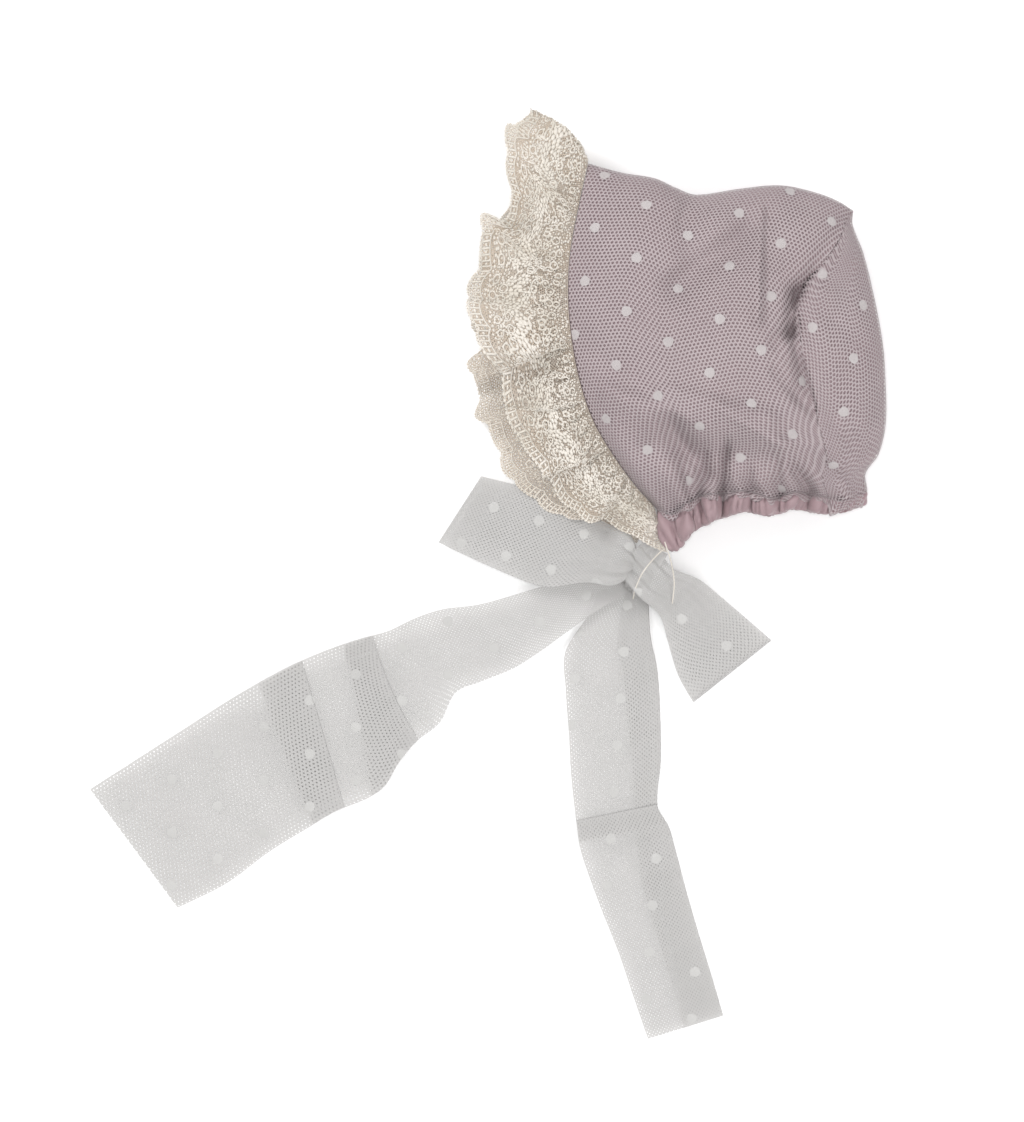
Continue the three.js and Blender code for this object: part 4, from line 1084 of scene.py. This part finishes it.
def loop_place(rows, length, root, knot_level, sink_from, puff, cover):
    """A place on a loop: ring from the knot along the top (0), round the outer fold and back beneath (1). The
    top starts over the knot, cover high. Where it covers the whole knot, as the left loop does, its start is
    rounded and turned down."""
    covers = cover > 18

    def place(ring, share):
        radius = loop_height / 2 + 0.6
        run = 0.46
        outward = np.clip(ring / run, 0, 1)
        bend = np.clip((ring - run) / (1 - 2 * run), 0, 1) * np.pi
        back = np.clip((ring - 1 + run) / run, 0, 1)
        end = 1 - radius / length
        along = np.where(ring < 1 - run, end + radius / length * np.sin(bend), mix(end, 0.14, back))
        along = np.where(ring < run, mix(0.0 if covers else -0.2, end, outward), along)
        up = np.where(ring < run, 1.0, np.where(ring < 1 - run, np.cos(bend), -1.0))
        arch = radius * (0.75 + 0.25 * np.minimum(1, 2 * along))
        middle = mix(knot_level, ribbon_wall, eased((along - sink_from) / (1 - sink_from))) + radius
        body = np.sin(np.pi * np.clip(along, 0, 1))
        level = middle + up * arch + puff * np.sin(np.pi * share) * body * (up > 0)
        fall = eased((along - 0.08) / 0.34)
        over = mix(cover * (0.86 + 0.14 * np.sin(np.pi * share)), level, fall)
        low, high = values(rows, "low high", along)
        if covers:
            dome = rounded(along / 0.15)
            low, high = mix(0.0, mix(-0.21, low, fall), dome), mix(0.0, mix(0.2, high, fall), dome)
            over = over - 5.0 * (1 - dome) ** 0.7
        level = np.where(ring < run, over, level)
        fold = np.sin(2 * np.pi * (3.2 * share + 0.5 * along)) + 0.5 * np.sin(2 * np.pi * (7 * share - along))
        crease = 0.55 * fold * np.exp(-np.clip(along, 0, 1) / 0.22) * np.sign(up + 0.01)
        soft = 0.5 * np.sin(2 * np.pi * (1.1 * share + 1.4 * along + 0.2)) * body
        beside = mix(low, high, share) * ribbon_width
        return from_root(root, length, along, beside, level + crease + soft * (up > 0))
    return place


def loop_sheet(name, node_name, place, length):
    """A loop, with its pattern stretched to the length of its two layers."""
    loop = ribbon_sheet(name, node_name, place, 1.0, 44, 260, ribbon_width)
    for item in loop.data.uv_layers["cut"].data:
        item.uv[0] = item.uv[0] * 2 * length * 1.03
    return loop


left_place = loop_place(left_loop, left_loop_length, roots["left_loop"], 4.9, 0.5, 2.0, 20.0)
loop_left = loop_sheet("ribbon_loop_left", "bow_loop_left", left_place, left_loop_length)
right_place = loop_place(right_loop, right_loop_length, roots["right_loop"], 4.2, 0.1, 1.6, 16.2)
loop_right = loop_sheet("ribbon_loop_right", "bow_loop_right", right_place, right_loop_length)


def knot_points(turn, rise):
    angle = 2 * np.pi * turn
    flank = np.sin(np.pi * mix(0.02, 0.98, rise)) ** 0.45
    pleat = 1 + 0.07 * np.sin(7 * angle + 2.5 * rise) + 0.04 * np.sin(16 * angle + 1.0)
    return np.stack([
        knot_place[0] + knot_width / 2 * flank * pleat * np.cos(angle),
        knot_place[1] + knot_length / 2 * flank * pleat * np.sin(angle),
        rise * (knot_height - 2) + ribbon_wall], axis=-1)


turn, rise = grid_of(steps(96), steps(24))
knot_grid = knot_points(turn, rise)
knot = cloth("ribbon_knot", knot_grid, normals(knot_grid, at=(0.0, 0.5), facing=(1, 0, 0)),
             np.stack([turn * 52, rise * 24], axis=-1), closed=True)
finished(knot, ribbon_net, ["bow_knot"])
declare(knot_grid, layers=1.42)


def strap_sheet(name, side, knot_rise, node_name):
    """The stretch of ribbon from a chin corner to the knot; side is 0 for the near corner, 1 for the far."""
    corner = casing_place(np.array(float(side)), np.array(1.0))
    target = np.array([knot_place[0], knot_place[1], ribbon_wall + knot_rise * knot_height])
    inward = target[:2] - corner[:2]
    inward /= np.linalg.norm(inward)
    aside = np.array([-inward[1], inward[0]])
    start = corner + np.array([inward[0] * 0.4, inward[1] * 0.4, (1.2 if side else -1.2)])
    end = target - np.array([inward[0] * 5.0, inward[1] * 5.0, 0])
    along, share = grid_of(steps(40), steps(24))
    points = mix(start, end, along[..., None])
    points[..., :2] += ((share - 0.5) * 1.4 * strap_width)[..., None] * aside
    points[..., 2] += 0.5 * np.cos(6 * np.pi * share + along)
    facing = normals(points, at=(0.5, 0.5))
    obj = cloth(name, points, facing, np.stack([along * 20, share * 40], axis=-1))
    finished(obj, ribbon_net, [node_name])
    declare(points)


strap_sheet("ribbon_strap_near", 0, 0.85, "tie_strap_near")
strap_sheet("ribbon_strap_far", 1, 0.66, "tie_strap_far")

for name, ribbon, origin, first, second in (
        ("ribbon_tail_left_dots", tail_left, (-228.6, -178.4), (0.0, -23.85), (20.7, -12.0)),
        ("ribbon_tail_right_dots", tail_right, (-49.0, -174.8), (-1.5, -21.0), (20.5, -9.0)),
        ("ribbon_loop_left_dots", loop_left, (-99.0, -89.8), (5.4, -22.0), (20.2, -6.0)),
        ("ribbon_loop_right_dots", loop_right, (-20.0, -118.0), (-3.0, -23.5), (20.0, -12.0))):
    dots_on(name, [ribbon], origin, first, second, 0.3, (0.2,), ribbon_dot_thread, 0.6)
